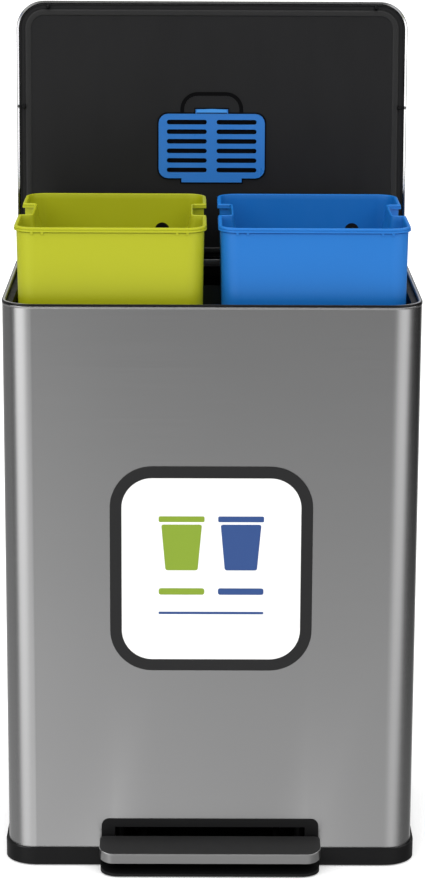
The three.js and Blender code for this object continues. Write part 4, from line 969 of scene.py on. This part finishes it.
# The bucket's section is carried round its outline. Below the rim the walls lean in evenly, and at the two
# finger pockets each point moves from the plain wall to the pocket's plan by the row's pocket share.
def bucket(colour):
    d, slotName = bucketLook, f"{colour}_plastic"
    x0, x1 = bucketSpans[colour]
    out = d["flangeOut"]
    endBack, endFront = d["pocketMiddle"] + d["pocketHalf"], d["pocketMiddle"] - d["pocketHalf"]
    stops = np.concatenate([endBack - pocketStops, endFront + pocketStops])
    middle = (x0 + x1) / 2
    path = outlinePath(x0 + out, x1 - out, d["front"] + out, d["back"] - out, d["corner"] - out,
                       {"left": stops, "right": stops, "front": [middle], "back": [middle]})
    height, wall, flange, share = (column[:, None] for column in bucketRows().T)
    lean = d["draft"] * height
    offset = out * flange - wall - lean
    xy = path[0][None] + offset[..., None] * path[1][None]
    along, deep = pocketEnd(wall + lean, out * np.maximum(flange, 0))
    # the pocket's back leans into the bucket below its upper band
    leaning = np.clip((height - d["leanStart"]) / (d["pocketHigh"] - d["leanStart"]), 0, 1)
    deep = deep + d["pocketLean"] * leaning * np.clip(deep / d["pocketDeep"], 0, 1)
    for side, sign, edge in (("left", 1, x0 + out), ("right", -1, x1 - out)):
        columns = path[2][side]
        atBack = np.stack([edge + sign * deep, endBack - along], -1)
        atFront = np.stack([edge + sign * deep, endFront + along], -1)
        first, second = (atBack, atFront) if sign > 0 else (atFront, atBack)
        bay = np.concatenate([first, second[:, ::-1]], 1)
        plain = xy[:, columns]
        xy[:, columns] = plain + (bay - plain) * share[..., None]
    rim = d["low"] + d["high"]
    z = np.broadcast_to((rim - height)[..., None], xy.shape[:2] + (1,))
    sheet = gridSheet(np.concatenate([xy, z], 2))
    piece = makePiece(f"{colour}_liner_bucket", [sheet], standing, colour, f"bucket_{colour}",
                      [f"{colour}_bucket"])
    punchHole(piece, middle + d["tuckAside"], rim - d["tuckDrop"])
    makePiece(f"{colour}_liner_bucket_nubs", nubSheets(middle), standing, colour, f"bucket_{colour}")


# Small blocks under the flange, on the front wall, narrower at their outer end.
def nubSheets(middle):
    d = bucketLook
    high = d["low"] + d["high"] - d["flangeHigh"]
    face = d["front"] + d["flangeOut"]
    edge = d["nubEdge"]
    sheets = []
    for aside in d["nubs"]:
        rows = []
        for out, shrink in ((-0.6, 0), (d["nubOut"] - edge, 0), (d["nubOut"], edge)):
            half = d["nubWide"] / 2 - shrink
            x = middle + aside + np.array([-half, half, half, -half])
            z = high + np.array([-d["nubHigh"] + shrink, -d["nubHigh"] + shrink, 0.2, 0.2])
            rows.append(np.column_stack([x, np.full(4, face - out), z]))
        sheets.append(gridSheet(np.stack(rows)))
    return sheets


# A round bar through the back wall is taken out of the mesh.
def punchHole(piece, x, z, inside=14, outside=4):
    d = bucketLook
    ring = circleLine(x, z, d["tuckHole"])
    rows = [np.column_stack([ring[:, 0], np.full(len(ring), y), ring[:, 1]])
            for y in (d["back"] - inside, d["back"] + outside)]
    cutAway(piece, [gridSheet(np.stack(rows))], standing)


pedalLook = dict(half=133, length=37.9, high=14, wall=1.2, frontCorner=17, backCorner=7, arcSteps=10,
                 frontStops=(-60, 0, 60), edge=1.1, backSkirt=4)


# The pedal's outline from above, drawn in by an inset.
def pedalPath(inset=0.0):
    d = pedalLook
    front, back = d["frontCorner"] - inset, d["backCorner"] - inset
    return outlinePath(-d["half"] + inset, d["half"] - inset, -d["length"] + inset, -inset,
                       (back, front, front, back), {"front": d["frontStops"]}, d["arcSteps"])


# The cover's section, a skirt under a flat top, is carried round its plan; behind, its skirt is short.
def pedalCover():
    d, path = pedalLook, pedalPath()
    wall, low, r = d["wall"], -d["high"], d["edge"]
    inner = [(-6, -wall), (-wall, -wall), (-wall, low + 0.3)]
    outer = [(-wall + 0.3, low), (-0.25, low), (0, low + 0.3), (0, low + 1), (0, -r - 0.8)]
    over = arcLine(-r, -r, r, np.linspace(0, 90, 6))
    whole = carried(path, np.concatenate([inner, outer, over, [(-r - 0.8, 0), (-6, 0)]]))
    behind = path[0][:, 1] > -d["backCorner"] + 0.01
    z = whole[..., 2]
    z[:, behind] = np.maximum(z[:, behind], -d["backSkirt"])
    return makePiece("pedal_skin", [gridSheet(whole)], onPedal, "pedalSteel",
                     "pedal", ["pedal_cover"])


padLook = dict(inset=0.4, high=0.5, edge=0.3)


# A thin dark pad with a rounded edge lies on the cover; its near black is a painted reflection of the steel
# top.
def pedalPad():
    d = padLook
    section = [(-1, -0.2), (0, -0.2), (0, d["high"]), (-3, d["high"])]
    profile = rounded(section, [0.1, 0.1, d["edge"], 0.1], closed=False)
    return makePiece("pedal_pad", [gridSheet(carried(pedalPath(d["inset"]), profile))],
                     onPedal, "padPaintedReflection", "pedal")


badgeLook = dict(half=119.6, low=248, high=498, corner=50, arcSteps=14, border=13.6, thick=1.2, face=0.8,
                 gap=0.3, frameCuts=(0.1, 0.1, 0.5, 0.5), faceCuts=(0.1, 0.1, 0.3, 0.1), faceEdge=4)


# The badge's outline, drawn in by an inset.
def badgePath(inset=0.0):
    d = badgeLook
    return outlinePath(-d["half"] + inset, d["half"] - inset, d["low"] + inset, d["high"] - inset,
                       d["corner"] - inset, None, d["arcSteps"])


# The frame is a rounded bar carried round the badge's outline, and the face a plate with a soft edge.
def badge():
    d, gap = badgeLook, badgeLook["gap"]
    bar = barProfile(-d["border"], 0, gap, gap + d["thick"], d["frameCuts"])
    makePiece("badge_ring", [gridSheet(carried(badgePath(), bar), True)], onFront, "badgeGrey",
              "frame", ["badge_frame"])
    plate = barProfile(-d["faceEdge"], 0, gap, gap + d["face"], d["faceCuts"], 3, False)
    sheet = gridSheet(carried(badgePath(d["border"] + gap), plate))
    makePiece("badge_plate", [sheet], onFront, "badgeWhite", "frame", ["badge_face"])


motifLook = dict(
    shapes=(
        ("green", [(-54, 372), (-16, 372), (-11, 428), (-59, 428)], 3),
        ("green", [(-62, 431), (-8, 431), (-8, 438), (-62, 438)], 2),
        ("blue", [(16, 372), (54, 372), (59, 428), (11, 428)], 3),
        ("blue", [(8, 431), (62, 431), (62, 438), (8, 438)], 2),
        ("green", [(-62, 342), (-8, 342), (-8, 350), (-62, 350)], 3),
        ("blue", [(8, 342), (62, 342), (62, 350), (8, 350)], 3),
        ("blue", [(-62, 318), (62, 318), (62, 321), (-62, 321)], 1),
    ),
    low=1.0, high=1.2,
)


# A plain pattern of two buckets and bars, each a thin rounded plate on the badge's face.
def badgeMotif():
    d = motifLook
    for ink in ("green", "blue"):
        shapes = [(corners, cut) for name, corners, cut in d["shapes"] if name == ink]
        sheets = [plateSheet(corners, cut, d["low"], d["high"]) for corners, cut in shapes]
        makePiece(f"badge_{ink}_motif", sheets, onFront, "print" + ink.capitalize(), "frame")


placeCamera()
buildStudio()
bpy.context.scene.view_settings.view_transform = "Standard"
studioFloor()
print("studio set")

steelBody()
rimBead()
rimPaintedHighlight()
lidShell()
lidHemHighlight()
lidLiner()
filterSurround()
for number, place in enumerate(bumperLook["places"], 1):
    lidBumper(number, *place)
bucket("green")
bucket("blue")
pedalCover()
pedalPad()
badge()
badgeMotif()
print("formed pieces made")

# CAD solids whose edges are softened: edge width, finish.
softEdges = dict(
    base=(0.8, "black"), top_collar=(0.6, "black"), pedal_bezel=(0.5, "black"),
    filter_cover=(0.9, "coverBlue"), hinge_arm_right=(0.4, "zinc"), hinge_arm_left=(0.4, "zinc"),
    damper_arm=(0.4, "zinc"), hinge_bracket_right=(0.4, "zinc"), hinge_bracket_left=(0.4, "zinc"),
    hinge_pin_right=(0.3, "zinc"), hinge_pin_left=(0.3, "zinc"),
    lift_rod_right=(0.4, "zinc"), lift_rod_left=(0.4, "zinc"), damper_rod=(0.4, "zinc"),
    damper_cylinder=(0.6, "black"), damper_clip=(0.4, "black"), rod_guide_right=(0.5, "black"),
    rod_guide_left=(0.5, "black"), pedal_lever=(0.8, "black"), bucket_shelf=(0.6, "black"),
    filter_cartridge=(0.8, "foam"), pedal_axle=(0.5, "darkZinc"), axle_bracket_right=(0.6, "darkZinc"),
    axle_bracket_left=(0.6, "darkZinc"),
)
for k in range(1, 5):
    softEdges[f"bracket_screw_{k}"] = (0.25, "darkZinc")
for k in range(1, 7):
    softEdges[f"floor_pad_{k}"] = (0.5, "rubber")
    softEdges[f"lid_screw_{k}"] = (0.25, "zinc")
for node, (width, finish) in softEdges.items():
    piece = softened(node, width, finish)
    if node == "filter_cover":
        drawnIn(piece, filterLook["drawnIn"])
print("softened solids:", len(softEdges))
